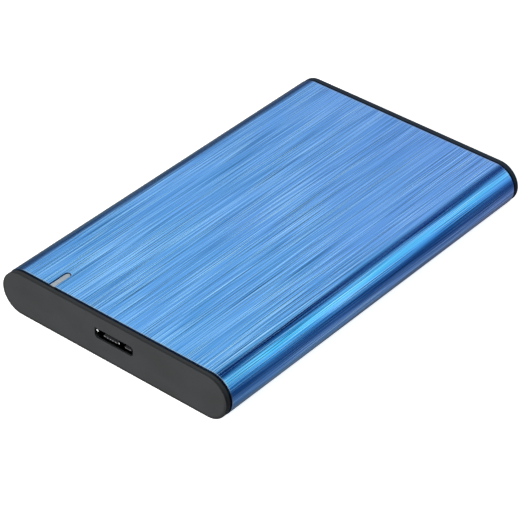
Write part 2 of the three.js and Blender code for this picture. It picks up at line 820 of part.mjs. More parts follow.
function platterClamp() {
  const body = cut(
    post(0, 0, [CLAMP_Z, CLAMP_Z + 0.45], 12.2, 11.6, 30),
    post(0, 0, [0, 12], 1.2, 1.2, 16),
    ring(0, 0, [CLAMP_Z + 0.25, CLAMP_Z + 1], 5.5, 8.5, 30),
  );
  return part("platter_clamp", body, sheetSteel);
}

function clampScrew() {
  const head = post(0, 0, [0, 0.75], 2.3, 2, 16);
  const shank = post(0, 0, [-1.3, 0.05], 0.9, 0.9, 12);
  const socket = post(0, 0, [0.25, 2], 0.9, 0.9, 6);
  const made = part("clamp_screw", cut(join(head, shank), socket), screwSteel);
  made.position.z = CLAMP_Z + 0.45 + SOLDER;
  return made;
}

// ---------- drive: head stack and its motor ----------

const COIL = { direction: -212, spread: 15, inner: 9.5, outer: 17.5 }; // degrees from the arm
const BLADES = [
  [3.2, 3.6],
  [5.45, 6.05],
  [7.9, 8.3],
];
const SUSPENSIONS = [
  ["head_suspension_1", 3.64, 3.95],
  ["head_suspension_2", 4.95, 5.4],
  ["head_suspension_3", 6.1, 6.55],
  ["head_suspension_4", 7.55, 7.86],
];

function pivotBearing() {
  const body = cut(
    post(0, 0, [FLOOR + FIT, BASE_TOP - 0.35], 3.2, 3.2, 24),
    post(0, 0, [0, 12], 1.3, 1.3, 16),
  );
  return part("pivot_bearing", body, plainSteel);
}

// The arm block: a hub round the pivot, three thin blades and a fork that holds the coil.
function armBlock() {
  const hub = post(0, 0, [3.2, 8.3], 6, 6, 32);
  const blades = BLADES.map((z) =>
    slab(
      polygon([
        [2, -5.4],
        [27, -2.1],
        [27, 2.1],
        [2, 5.4],
      ]),
      z,
    ),
  );
  const { direction, spread, inner, outer } = COIL;
  const forkSpread = spread + 4.5;
  const window = spread + 1;
  const fork = cut(
    slab(sector(4, outer + 1.2, direction - forkSpread, direction + forkSpread), [4.75, 6.05], 6),
    slab(sector(inner - 0.3, outer + 3, direction - window, direction + window), [0, 12], 6),
  );
  const body = cut(join(hub, ...blades, fork), post(0, 0, [0, 12], 3.25, 3.25, 24));
  return part("actuator_arm", body, machinedAluminium);
}

function voiceCoil() {
  const { direction, spread, inner, outer } = COIL;
  const band = 2.4;
  const window = 6;
  const body = cut(
    slab(sector(inner, outer, direction - spread, direction + spread), [4.65, 6.15], 6),
    slab(sector(inner + band, outer - band, direction - window, direction + window), [0, 12], 3),
  );
  return part("voice_coil", body, copper);
}

// A spring blade out to the head, with a lift tab at its tip and the slider below or above it.
function suspension(name, z0, z1, facesUp) {
  const sheet = 0.12;
  const leaf = facesUp ? [z0, z0 + sheet] : [z1 - sheet, z1];
  const slider = facesUp ? [z0 + 0.05, z1] : [z0, z1 - 0.05];
  const body = join(
    slab(
      polygon([
        [21, -2],
        [26.5, -2],
        [HEAD_RADIUS + 0.6, -0.7],
        [HEAD_RADIUS + 2, -0.35],
        [HEAD_RADIUS + 2, 0.35],
        [HEAD_RADIUS + 0.6, 0.7],
        [26.5, 2],
        [21, 2],
      ]),
      leaf,
    ),
    box([HEAD_RADIUS - 0.6, HEAD_RADIUS + 0.6], [-0.5, 0.5], slider),
  );
  return part(name, body, sheetSteel);
}

function headStack() {
  const heads = SUSPENSIONS.map(([name, z0, z1], i) => suspension(name, z0, z1, i % 2 === 0));
  const made = group(PIVOT.x, PIVOT.y, 0, armBlock(), pivotBearing(), voiceCoil(), ...heads);
  made.rotation.z = PARKED_ANGLE;
  return made;
}

// Yoke plates and magnets stand still over and under the coil's whole swing: radii from the
// pivot and directions in degrees.
const YOKE = { inner: 8.6, outer: 18.6, from: -101, to: -33 };
const MAGNET = { inner: 9.6, outer: 17.8, from: -98, to: -36 };

function roundPivot(name, { inner, outer, from, to }, z, material) {
  const made = part(name, slab(sector(inner, outer, from, to), z, 8), material);
  made.position.set(PIVOT.x, PIVOT.y, 0);
  return made;
}

function voiceCoilMotor() {
  return [
    roundPivot("lower_yoke_plate", YOKE, [FLOOR + FIT, 3.6], plainSteel),
    roundPivot("lower_magnet", MAGNET, [3.64, 4.2], magnetNickel),
    roundPivot("upper_magnet", MAGNET, [6.6, 7.2], magnetNickel),
    roundPivot("upper_yoke_plate", YOKE, [7.24, 8.1], plainSteel),
  ];
}

function pivotPost() {
  const shaft = post(PIVOT.x, PIVOT.y, [FLOOR + FIT, BASE_TOP], 1.25, 1.25, 16);
  return part("pivot_shaft", shaft, plainSteel);
}

// The parking ramp: a post with one tongue level with each platter, just outside its edge.
function parkingRamp() {
  const tip = new THREE.Vector2(HEAD_RADIUS + 1.5, 0).rotateAround(
    new THREE.Vector2(),
    PARKED_ANGLE,
  );
  const x = PIVOT.x + tip.x;
  const y = PIVOT.y + tip.y;
  const tongues = [LOWER_PLATTER_Z, UPPER_PLATTER_Z].map((z) =>
    box([x - 3.2, x + 1.6], [y - 2.2, y + 2.4], [z, z + PLATTER_THICKNESS]),
  );
  const body = cut(
    join(box([x - 5.2, x - 1.6], [y - 2.6, y + 2.4], [FLOOR + FIT, 8.4]), ...tongues),
    post(SPINDLE.x, SPINDLE.y, [0, 12], PLATTER_RADIUS + 0.35, PLATTER_RADIUS + 0.35, 60),
  );
  return part("parking_ramp", body, rampWhite);
}

// ---------- assembly ----------

const spindle = group(
  SPINDLE.x,
  SPINDLE.y,
  0,
  bearingSleeve(),
  stator(),
  spindleHub(),
  platter("lower_platter", LOWER_PLATTER_Z),
  platterSpacer(),
  platter("upper_platter", UPPER_PLATTER_Z),
  platterClamp(),
  clampScrew(),
);

const drive = group(
  0,
  DRIVE_FRONT,
  DRIVE_BOTTOM,
  driveBase(),
  driveCover(),
  coverGasket(),
  ...coverScrews(),
  driveCircuit(),
  ...circuitScrews(),
  ...circuitChips(),
  drivePlug(),
  drivePad(),
  spindle,
  headStack(),
  ...voiceCoilMotor(),
  pivotPost(),
  parkingRamp(),
);

const carriage = group(
  0,
  0,
  0,
  frontCap(),
  lightPipe(),
  bridgeBoard(),
  ...boardScrews(),
  portShell(),
  portInsulator(),
  driveReceptacle(),
  ...boardComponents(),
  statusLamp(),
);

const externalDrive = group(0, -CASE_LENGTH / 2, 0, outerSleeve(), rearCap(), carriage, drive);

export default externalDrive;
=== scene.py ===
"""External 2.5 inch drive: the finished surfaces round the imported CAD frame.

The case's outside is rebuilt with fine curves and small edge radii, the pieces inside are rebuilt from
their CAD solids with softened edges, and every piece has its own procedural material. Lengths are
millimetres times MM, in the row frame: +X right seen from the front, +Y to the rear cap, +Z up.
"""

import json
import math

import bmesh
import bpy
from mathutils import Matrix, Vector

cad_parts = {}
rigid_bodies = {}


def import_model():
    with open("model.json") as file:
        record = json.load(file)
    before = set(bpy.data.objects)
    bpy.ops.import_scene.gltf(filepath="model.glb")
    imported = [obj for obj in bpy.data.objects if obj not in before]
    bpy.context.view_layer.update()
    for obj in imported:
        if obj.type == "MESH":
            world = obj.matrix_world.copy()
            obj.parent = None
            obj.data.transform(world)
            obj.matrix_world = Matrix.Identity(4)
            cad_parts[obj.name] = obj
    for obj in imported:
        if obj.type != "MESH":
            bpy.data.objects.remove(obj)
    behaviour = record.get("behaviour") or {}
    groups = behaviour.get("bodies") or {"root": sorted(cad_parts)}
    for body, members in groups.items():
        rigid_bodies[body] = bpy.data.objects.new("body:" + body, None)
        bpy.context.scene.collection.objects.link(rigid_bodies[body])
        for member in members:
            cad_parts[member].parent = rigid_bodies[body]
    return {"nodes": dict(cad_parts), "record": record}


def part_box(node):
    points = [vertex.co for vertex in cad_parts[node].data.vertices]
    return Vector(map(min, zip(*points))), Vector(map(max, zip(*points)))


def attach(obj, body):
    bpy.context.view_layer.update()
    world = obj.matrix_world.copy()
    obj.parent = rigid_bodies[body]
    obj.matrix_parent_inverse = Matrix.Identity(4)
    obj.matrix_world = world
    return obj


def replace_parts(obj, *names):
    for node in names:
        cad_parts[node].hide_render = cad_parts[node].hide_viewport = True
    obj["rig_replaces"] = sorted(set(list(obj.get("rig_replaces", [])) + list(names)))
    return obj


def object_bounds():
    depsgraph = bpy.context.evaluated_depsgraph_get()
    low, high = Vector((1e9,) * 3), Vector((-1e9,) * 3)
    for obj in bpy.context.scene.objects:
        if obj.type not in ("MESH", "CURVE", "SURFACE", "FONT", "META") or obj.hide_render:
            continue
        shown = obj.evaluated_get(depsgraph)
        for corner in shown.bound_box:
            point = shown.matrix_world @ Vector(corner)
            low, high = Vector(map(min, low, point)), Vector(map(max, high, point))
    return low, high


MM = 0.001
ARC_SEGMENTS = 64  # along each half-round side of the case
SHARP = math.radians(35)
SLEEVE_WALL = 1.1 * MM
FRONT_SETBACK = 0.2 * MM  # how much further back the sleeve's ends lie than its solid's
REAR_SETBACK = 0.1 * MM
FLANGE_FRONT = 1.7 * MM  # the end caps' flanges, along the case
FLANGE_REAR = 1.6 * MM
PAST_SPIGOT = 20 * MM  # further from a cap's face than its spigot reaches
SLOT_CLEARANCE = 0.15 * MM  # light bar to slot wall, twice this on its left
BAR_SHARE = 0.8  # the light bar's width as a share of its solid's
BAR_FOOT_TOP = 10.9 * MM  # below this the light pipe's foot runs on under the front cap
BAR_SETBACK = 0.2 * MM  # bar's front to the sleeve's
LIP_THICKNESS = 0.2 * MM  # of the black lip that closes the slot's front

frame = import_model()
bpy.context.view_layer.update()
cad_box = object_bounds()

SLOT_OF = {s["node"]: s["material_slot"] for s in frame["record"]["subparts"]}
BODY_OF = {n: b for b, nodes in frame["record"]["behaviour"]["bodies"].items() for n in nodes}


# ---------- material recipes ----------


class Nodes:
    """Short calls for building a node tree."""

    def __init__(self, tree):
        self.tree = tree
        tree.nodes.clear()

    def add(self, kind, **settings):
        node = self.tree.nodes.new(kind)
        for key, value in settings.items():
            setattr(node, key, value)
        return node

    def feed(self, socket, value):
        if isinstance(value, bpy.types.NodeSocket):
            self.tree.links.new(value, socket)
        else:
            socket.default_value = value

    def fit(self, value, low, high, start=0.0, end=1.0, smooth=False):
        """Maps value from low..high to start..end, clamped."""
        kind = "SMOOTHSTEP" if smooth else "LINEAR"
        node = self.add("ShaderNodeMapRange", interpolation_type=kind)
        for key, number in zip(("From Min", "From Max", "To Min", "To Max"), (low, high, start, end)):
            node.inputs[key].default_value = number
        self.feed(node.inputs["Value"], value)
        return node.outputs["Result"]

    def maths(self, operation, a, b=0.0, c=None):
        node = self.add("ShaderNodeMath", operation=operation)
        self.feed(node.inputs[0], a)
        self.feed(node.inputs[1], b)
        if c is not None:
            self.feed(node.inputs[2], c)
        return node.outputs[0]

    def mix(self, factor, a, b, blend_type="MIX"):
        node = self.add("ShaderNodeMix", data_type="RGBA", blend_type=blend_type)
        self.feed(node.inputs["Factor"], factor)
        self.feed(node.inputs[6], a)
        self.feed(node.inputs[7], b)
        return node.outputs[2]


class Recipe(Nodes):
    """A node tree for one material. Texture frequencies are cycles per millimetre along X, Y and Z."""

    def __init__(self, name):
        self.material = bpy.data.materials.new(name)
        self.material.use_nodes = True
        super().__init__(self.material.node_tree)
        self.coordinates = self.add("ShaderNodeTexCoord").outputs["Object"]
        self.shader = self.add("ShaderNodeBsdfPrincipled")
        output = self.add("ShaderNodeOutputMaterial")
        self.feed(output.inputs["Surface"], self.shader.outputs[0])

    def set(self, **inputs):
        """Principled inputs by name, with _ for a space."""
        for key, value in inputs.items():
            self.feed(self.shader.inputs[key.replace("_", " ")], value)

    def scaled(self, frequency):
        mapping = self.add("ShaderNodeMapping")
        self.feed(mapping.inputs["Vector"], self.coordinates)
        mapping.inputs["Scale"].default_value = [f / MM for f in frequency]
        return mapping.outputs[0]

    def place_in_mm(self):
        """The surface point's X, Y and Z."""
        parts = self.add("ShaderNodeSeparateXYZ")
        self.feed(parts.inputs[0], self.scaled((1, 1, 1)))
        return parts.outputs

    def noise(self, frequency, seed, detail=2.0, distortion=0.0):
        texture = self.add("ShaderNodeTexNoise", noise_dimensions="4D")
        self.feed(texture.inputs["Vector"], self.scaled(frequency))
        texture.inputs["W"].default_value = seed
        texture.inputs["Scale"].default_value = 1.0
        texture.inputs["Detail"].default_value = detail
        texture.inputs["Distortion"].default_value = distortion
        return texture.outputs["Fac"]

    def cells(self, frequency, feature="F1"):
        texture = self.add("ShaderNodeTexVoronoi", feature=feature)
        self.feed(texture.inputs["Vector"], self.scaled(frequency))
        texture.inputs["Scale"].default_value = 1.0
        return texture.outputs["Distance"]

    def bump(self, height, depth_mm, under=None):
        node = self.add("ShaderNodeBump")
        node.inputs["Strength"].default_value = 1.0
        node.inputs["Distance"].default_value = depth_mm * MM
        self.feed(node.inputs["Height"], height)
        if under is not None:
            self.feed(node.inputs["Normal"], under)
        return node.outputs["Normal"]

    def edges(self, radius_mm):
        """1 near a convex or concave edge, 0 on open faces."""
        bevel = self.add("ShaderNodeBevel", samples=4)
        bevel.inputs["Radius"].default_value = radius_mm * MM
        geometry = self.add("ShaderNodeNewGeometry")
        dot = self.add("ShaderNodeVectorMath", operation="DOT_PRODUCT")
        self.feed(dot.inputs[0], bevel.outputs[0])
        self.feed(dot.inputs[1], geometry.outputs["Normal"])
        return self.fit(dot.outputs["Value"], 0.98, 0.85)

    def across_y(self):
        """The surface direction at right angles to the length, for grain that runs along Y."""
        geometry = self.add("ShaderNodeNewGeometry")
        cross = self.add("ShaderNodeVectorMath", operation="CROSS_PRODUCT")
        self.feed(cross.inputs[0], geometry.outputs["Normal"])
        cross.inputs[1].default_value = (0, 1, 0)
        return cross.outputs[0]


def colour(red, green, blue):
    """sRGB 0..255 to the linear colour that a shader takes."""
    linear = []
    for value in (red, green, blue):
        share = value / 255
        linear.append(share / 12.92 if share <= 0.04045 else ((share + 0.055) / 1.055) ** 2.4)
    return (*linear, 1.0)


# Brush strokes: (width mm, length mm, strength), each kind laid side by side round the case
STROKES = ((0.15, 42, 1.68), (0.25, 46, 0.5), (0.5, 55, 0.1), (1.3, 70, 0.15), (4.0, 100, 0.12))


def girth(r):
    """Millimetres round the case's cross-section from the middle of its top, negative to the left."""
    low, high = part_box("outer_sleeve")
    radius = (high.z - low.z) / 2 / MM
    straight = (high.x - low.x) / 2 / MM - radius
    x, y, z = r.place_in_mm()
    outwards = r.maths("ABSOLUTE", x)
    past_flat = r.maths("MAXIMUM", r.maths("SUBTRACT", outwards, straight), 0.0)
    turn = r.maths("ARCTAN2", past_flat, r.maths("SUBTRACT", z, (low.z + high.z) / 2 / MM))
    far = r.maths("ADD", r.maths("MINIMUM", outwards, straight), r.maths("MULTIPLY", turn, radius))
    return r.maths("MULTIPLY", far, r.maths("SIGN", x)), y


def strip_tone(r, strip, along, length, seed):
    """Each strip's own slow variation along its length."""
    own = r.add("ShaderNodeTexWhiteNoise", noise_dimensions="1D")
    r.feed(own.inputs["W"], r.maths("ADD", strip, seed))
    texture = r.add("ShaderNodeTexNoise", noise_dimensions="1D")
    start = r.maths("MULTIPLY", own.outputs["Value"], 900.0)
    r.feed(texture.inputs["W"], r.maths("ADD", r.maths("DIVIDE", along, length), start))
    texture.inputs["Scale"].default_value = 1.0
    texture.inputs["Detail"].default_value = 1.0
    return r.maths("SUBTRACT", texture.outputs["Fac"], 0.5)


def stroke(r, across, along, width, length, seed):
    """Strips of one width side by side, each set off a little against the next one."""
    strip = r.maths("FLOOR", r.maths("DIVIDE", across, width))
    tone = strip_tone(r, strip, along, length, seed)
    beside = strip_tone(r, r.maths("ADD", strip, 1.0), along, length, seed)
    return r.maths("SUBTRACT", tone, r.maths("MULTIPLY", beside, 0.25))


def ends_of_y(r, along, margin_mm):
    """1 within margin_mm of either end of the case's sleeve, 0 further in."""
    low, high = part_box("outer_sleeve")
    middle, half = (low.y + high.y) / 2 / MM, (high.y - low.y) / 2 / MM
    out = r.maths("ABSOLUTE", r.maths("SUBTRACT", along, middle))
    return r.fit(out, half - margin_mm, half - margin_mm * 0.4)


def brushing(r, across, along):
    """The strokes' tone, below 0 where darker, and the deepest scratches, from 0 to 0.4."""
    layers = [
        r.maths("MULTIPLY", stroke(r, across, along, width, length, 13.7 * i + 5), strength)
        for i, (width, length, strength) in enumerate(STROKES)
    ]
    fine = r.maths("ADD", r.maths("ADD", layers[0], layers[1]), layers[2])
    busy = r.fit(r.noise((0.1, 0.035, 0.1), 21.0), 0.36, 0.64, 0.6, 1.45)
    busy = r.maths("MULTIPLY", busy, r.fit(along, -50, 60, 1.15, 0.7))
    strokes = r.maths("ADD", r.maths("MULTIPLY", fine, busy), r.maths("ADD", layers[3], layers[4]))
    return strokes, r.maths("MULTIPLY", r.fit(layers[1], -0.075, -0.12), 0.4)


def blue_tone(r, across, along, strokes, scratches):
    """The anodised colour: its hue shifts with the view, it greys towards grazing views as a painted sheen,
    its sides near the front cap carry painted shade, and it wears at the cut ends and edges.
    """
    facing = r.add("ShaderNodeLayerWeight").outputs["Facing"]
    patches = r.fit(r.noise((0.05, 0.03, 0.05), 5.0), 0.35, 0.7, 0.0, 0.5)
    sides = r.fit(r.maths("ABSOLUTE", across), 30, 34)
    painted_shade_front_sides = r.maths("MULTIPLY", r.fit(along, -46, -56), sides)
    tone = r.mix(r.fit(facing, 0.2, 0.45, smooth=True), colour(86, 172, 222), colour(99, 161, 224))
    for share, hue in (
        (patches, colour(106, 157, 226)),
        (r.fit(strokes, 0.0, -0.5), colour(16, 92, 138)),
        (r.fit(strokes, 0.0, 0.5), colour(174, 220, 255)),
        (scratches, colour(16, 60, 116)),
        # painted shade: darker blue on the sides near the front cap
        (r.maths("MULTIPLY", painted_shade_front_sides, 0.3), colour(26, 84, 142)),
        (r.maths("MULTIPLY", ends_of_y(r, along, 0.8), 0.35), colour(158, 172, 186)),
        (r.maths("MULTIPLY", r.edges(0.25), 0.55), colour(196, 222, 244)),
        # painted sheen: the blue greys towards grazing views
        (r.fit(facing, 0.63, 0.93, 0.0, 0.48), colour(170, 170, 170)),
    ):
        tone = r.mix(share, tone, hue)
    return tone


def brushed_blue():
    """Blue anodised aluminium, brushed along its length with uneven strokes of several widths."""
    r = Recipe("brushed_blue_aluminium")
    across, along = girth(r)
    strokes, scratches = brushing(r, across, along)
    grooves = r.noise((2.8, 0.046, 2.8), 1.0, detail=1)
    bare = r.maths("SUBTRACT", 1.0, r.maths("MULTIPLY", ends_of_y(r, along, 0.3), 0.12))
    r.set(Base_Color=blue_tone(r, across, along, strokes, scratches), Metallic=bare)
    r.set(Roughness=r.fit(strokes, -0.3, 0.3, 0.2, 0.26), Normal=r.bump(grooves, 0.006))
    r.set(Anisotropic=0.35, Tangent=r.across_y())
    return r.material


def moulded(name, base, worn, grain_per_mm, grain_depth, roughness, shine=0.4):
    """Moulded plastic with a fine eroded texture, faint flow marks and slightly rubbed edges."""
    r = Recipe(name)
    grain = r.noise((grain_per_mm,) * 3, 2.0, detail=3)
    flow = r.noise((0.09, 0.05, 0.12), 9.0, detail=2, distortion=0.4)
    specks = r.fit(r.noise((1.7,) * 3, 4.0, detail=1), 0.66, 0.74)
    tone = r.mix(r.fit(flow, 0.3, 0.7), base, [c * 1.18 for c in base[:3]] + [1.0])
    tone = r.mix(r.maths("MULTIPLY", specks, 0.12), tone, worn)
    tone = r.mix(r.maths("MULTIPLY", r.edges(0.1), 0.2), tone, worn)
    rough = r.fit(grain, 0.2, 0.8, roughness - 0.08, roughness + 0.08)
    r.set(Base_Color=tone, Roughness=rough, Normal=r.bump(grain, grain_depth), Specular_IOR_Level=shine)
    return r.material


def cap_depth_and_corner_shade(r):
    """Millimetres inwards from the nearer cap's face, and a mask of the corner round that face, where shade
    is painted.
    """
    _, y, _ = r.place_in_mm()
    inwards = r.maths("SUBTRACT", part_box("rear_cap")[1].y / MM, r.maths("ABSOLUTE", y))
    return inwards, r.maths("MULTIPLY", r.fit(inwards, 0.02, 0.2), r.fit(inwards, 0.85, 0.45))


def cap_outline_shade(r):
    """A mask of the narrow band just inside the lower outline of a cap's face, where a dark line of shade is
    painted.
    """
    low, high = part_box("front_cap")
    radius = (high.z - low.z) / 2 / MM
    straight = (high.x - low.x) / 2 / MM - radius
    x, _, z = r.place_in_mm()
    past_flat = r.maths("MAXIMUM", r.maths("SUBTRACT", r.maths("ABSOLUTE", x), straight), 0.0)
    height = r.maths("SUBTRACT", z, (low.z + high.z) / 2 / MM)
    squares = r.maths("ADD", r.maths("POWER", past_flat, 2.0), r.maths("POWER", height, 2.0))
    band = r.fit(r.maths("SQRT", squares), radius - 1.0, radius - 0.65)
    return r.maths("MULTIPLY", band, r.fit(height, 3.0, -1.0))


def painted_rim_and_seams(r, inwards):
    """Masks of the rear cap's rim and the rear seam beside the sleeve, where shade is painted, and of the
    front seam beside the sleeve, where a blue reflection of the sleeve is painted.
    """
    _, y, _ = r.place_in_mm()
    at_rear, at_front = r.fit(y, 0, 1), r.maths("LESS_THAN", y, 0.0)
    rim = r.maths("MULTIPLY", at_rear, r.fit(inwards, 0.0, 0.3))
    rear = r.fit(inwards, FLANGE_REAR / MM - 0.2, FLANGE_REAR / MM - 0.05)
    rear = r.maths("MULTIPLY", rear, r.maths("LESS_THAN", inwards, FLANGE_REAR / MM + 0.05))
    front = r.maths("COMPARE", inwards, FLANGE_FRONT / MM + 0.25, 0.3)
    return rim, r.maths("MULTIPLY", rear, at_rear), r.maths("MULTIPLY", front, at_front)


def case_plastic():
    """The end caps' plastic, with painted shade round the face's corner, along its lower outline, on the
    rear rim and in the rear seam, and a painted blue reflection in the front seam.
    """
    r = Recipe("case_plastic")
    inwards, corner = cap_depth_and_corner_shade(r)
    rear_rim_painted_shade, rear_seam_painted_shade, front_seam_painted_reflection = painted_rim_and_seams(r, inwards)
    grain = r.noise((6.0,) * 3, 2.0, detail=3)
    flow = r.noise((0.09, 0.05, 0.12), 9.0, detail=2, distortion=0.4)
    specks = r.fit(r.noise((1.7,) * 3, 4.0, detail=1), 0.66, 0.74)
    tone = r.mix(r.fit(flow, 0.3, 0.7), colour(60, 61, 61), colour(64, 65, 66))
    for share, hue in (
        (r.maths("MULTIPLY", specks, 0.12), colour(84, 84, 86)),
        # painted shade round the corner between a cap's face and rim
        (r.maths("MULTIPLY", corner, 0.6), colour(26, 26, 27)),
        # painted shade: a dark line just inside the lower outline of a cap's face
        (r.maths("MULTIPLY", cap_outline_shade(r), 0.4), colour(20, 20, 21)),
        # painted shade on the rear cap's rim and in the rear seam
        (r.maths("MULTIPLY", rear_rim_painted_shade, 0.6), colour(22, 44, 62)),
        (rear_seam_painted_shade, colour(12, 22, 32)),
        # painted reflection: the sleeve's blue in the front seam
        (front_seam_painted_reflection, colour(48, 112, 142)),
    ):
        tone = r.mix(share, tone, hue)
    rough = r.maths("SUBTRACT", r.fit(grain, 0.2, 0.8, 0.52, 0.68), r.maths("MULTIPLY", corner, 0.15))
    r.set(Base_Color=tone, Roughness=rough, Normal=r.bump(grain, 0.012), Specular_IOR_Level=0.13)
    return r.material


def frosted():
    """Frosted light guide: pale, slightly cloudy and finely textured, with a faint painted glow."""
    r = Recipe("frosted_light_guide")
    cloud = r.noise((0.8, 0.5, 0.8), 2.0, detail=3)
    grain = r.noise((9.0,) * 3, 6.0)
    tone = r.mix(r.fit(cloud, 0.3, 0.7), colour(168, 179, 187), colour(186, 196, 203))
    r.set(Base_Color=tone, Roughness=r.fit(grain, 0.3, 0.7, 0.42, 0.6), Normal=r.bump(grain, 0.006))
    # painted glow: a faint emission of the bar's own colour, though the bar is unlit
    r.set(Coat_Weight=0.1, Coat_Roughness=0.4, Emission_Color=tone, Emission_Strength=0.1)
    return r.material


def metal(name, base, roughness, frequency, depth, spots=0.15, anisotropic=0.0):
    """Bare or plated metal: frequency sets the grain's direction and size."""
    r = Recipe(name)
    grain = r.noise(frequency, 1.5, detail=4)
    stain = r.noise((0.16,) * 3, 8.0, detail=3, distortion=0.6)
    scratches = r.fit(r.noise([f * 0.45 for f in frequency], 5.0, detail=5), 0.36, 0.3)
    darker = [c * 0.62 for c in base[:3]] + [1.0]
    tone = r.mix(r.fit(stain, 0.45, 0.75, 0.0, spots), base, darker)
    tone = r.mix(r.maths("MULTIPLY", scratches, 0.35), tone, darker)
    rough = r.fit(grain, 0.25, 0.75, roughness * 0.75, roughness * 1.3)
    r.set(Base_Color=tone, Metallic=1.0, Roughness=rough, Normal=r.bump(grain, depth))
    if anisotropic:
        r.set(Anisotropic=anisotropic, Tangent=r.across_y())
    return r.material


def casting():
    """Die-cast aluminium: a pebbled skin with flow lines and cleaner, milled edges."""
    r = Recipe("cast_aluminium")
    pebbles = r.cells((2.6,) * 3, "SMOOTH_F1")
    skin = r.noise((1.1,) * 3, 3.0, detail=5)
    flow = r.noise((0.12, 0.05, 0.2), 6.0, detail=2, distortion=1.2)
    tone = r.mix(r.fit(flow, 0.3, 0.7), colour(138, 141, 145), colour(168, 171, 175))
    tone = r.mix(r.maths("MULTIPLY", r.edges(0.3), 0.6), tone, colour(214, 217, 220))
    rough = r.fit(skin, 0.3, 0.7, 0.42, 0.62)
    normal = r.bump(pebbles, 0.02, r.bump(skin, 0.03))
    r.set(Base_Color=tone, Metallic=0.92, Roughness=rough, Normal=normal)
    return r.material


def circuit_board():
    """Solder mask over glass fibre: weave, copper runs under the mask and small holes."""
    r = Recipe("circuit_board")
    brick = r.add("ShaderNodeTexBrick", offset=0.35, squash=1.6)
    r.feed(brick.inputs["Vector"], r.scaled((0.55, 0.55, 0.55)))
    brick.inputs["Scale"].default_value = 1.0
    brick.inputs["Mortar Size"].default_value = 0.07
    brick.inputs["Mortar Smooth"].default_value = 0.15
    runs = brick.outputs["Fac"]
    vias = r.fit(r.cells((0.5, 0.5, 0.05)), 0.1, 0.06)
    weave = r.noise((3.2, 3.2, 0.5), 2.0, detail=1)
    tone = r.mix(r.fit(weave, 0.35, 0.65), colour(14, 74, 52), colour(18, 84, 60))
    tone = r.mix(r.maths("MULTIPLY", runs, 0.8), tone, colour(40, 122, 84))
    tone = r.mix(vias, tone, colour(196, 176, 120))
    r.set(Base_Color=tone, Roughness=r.fit(weave, 0.3, 0.7, 0.28, 0.42), Coat_Weight=0.5)
    r.set(Normal=r.bump(r.maths("ADD", runs, vias), 0.02), Coat_Roughness=0.2)
    return r.material


def speckled(name, base, other, per_mm, roughness):
    """Pressed ceramic or ferrite: a fine two-tone speckle."""
    r = Recipe(name)
    speckle = r.noise((per_mm,) * 3, 4.0, detail=4)
    tone = r.mix(r.fit(speckle, 0.4, 0.6), base, other)
    r.set(Base_Color=tone, Roughness=r.fit(speckle, 0.3, 0.7, roughness - 0.1, roughness + 0.1))
    r.set(Normal=r.bump(speckle, 0.015))
    return r.material


def foam():
    """Open-cell foam."""
    r = Recipe("soft_foam")
    cells = r.cells((2.4,) * 3)
    fuzz = r.noise((6.0,) * 3, 4.0, detail=3)
    tone = r.mix(r.fit(cells, 0.1, 0.7), colour(22, 22, 24), colour(62, 62, 66))
    normal = r.bump(cells, 0.12, r.bump(fuzz, 0.05))
    r.set(Base_Color=tone, Roughness=0.95, Normal=normal, Sheen_Weight=0.3)
    return r.material


def winding():
    """Enamelled copper wire in close turns."""
    r = Recipe("copper_winding")
    wave = r.add("ShaderNodeTexWave", bands_direction="DIAGONAL")
    r.feed(wave.inputs["Vector"], r.scaled((1.0,) * 3))
    wave.inputs["Scale"].default_value = 1.6
    wave.inputs["Distortion"].default_value = 0.3
    turns = wave.outputs["Fac"]
    tone = r.mix(turns, colour(120, 62, 28), colour(206, 128, 74))
    r.set(Base_Color=tone, Metallic=0.9, Roughness=r.fit(turns, 0, 1, 0.5, 0.28))
    r.set(Normal=r.bump(turns, 0.06), Coat_Weight=0.5, Coat_Roughness=0.2)
    return r.material


def lamp():
    """Clear resin over yellow phosphor."""
    r = Recipe("lamp_resin")
    cloud = r.noise((3.0,) * 3, 2.0, detail=2)
    tone = r.mix(r.fit(cloud, 0.4, 0.6), colour(232, 222, 160), colour(244, 238, 196))
    r.set(Base_Color=tone, Roughness=r.fit(cloud, 0.3, 0.7, 0.15, 0.3), Coat_Weight=0.6)
    r.set(Subsurface_Weight=0.3, Subsurface_Scale=0.3 * MM)
    return r.material


def disc_coating():
    """A polished data surface: nearly a mirror, with a faint haze in rings."""
    r = Recipe("disc_coating")
    haze = r.noise((0.5,) * 3, 3.0, detail=4)
    tone = r.mix(r.fit(haze, 0.3, 0.7), colour(206, 208, 212), colour(226, 228, 231))
    r.set(Base_Color=tone, Metallic=1.0, Roughness=r.fit(haze, 0.3, 0.7, 0.03, 0.08))
    r.set(Normal=r.bump(haze, 0.0008))
    return r.material


EVEN = (4.0, 4.0, 4.0)
ALONG_Y = (6.0, 0.25, 6.0)
ALONG_X = (0.25, 6.0, 6.0)

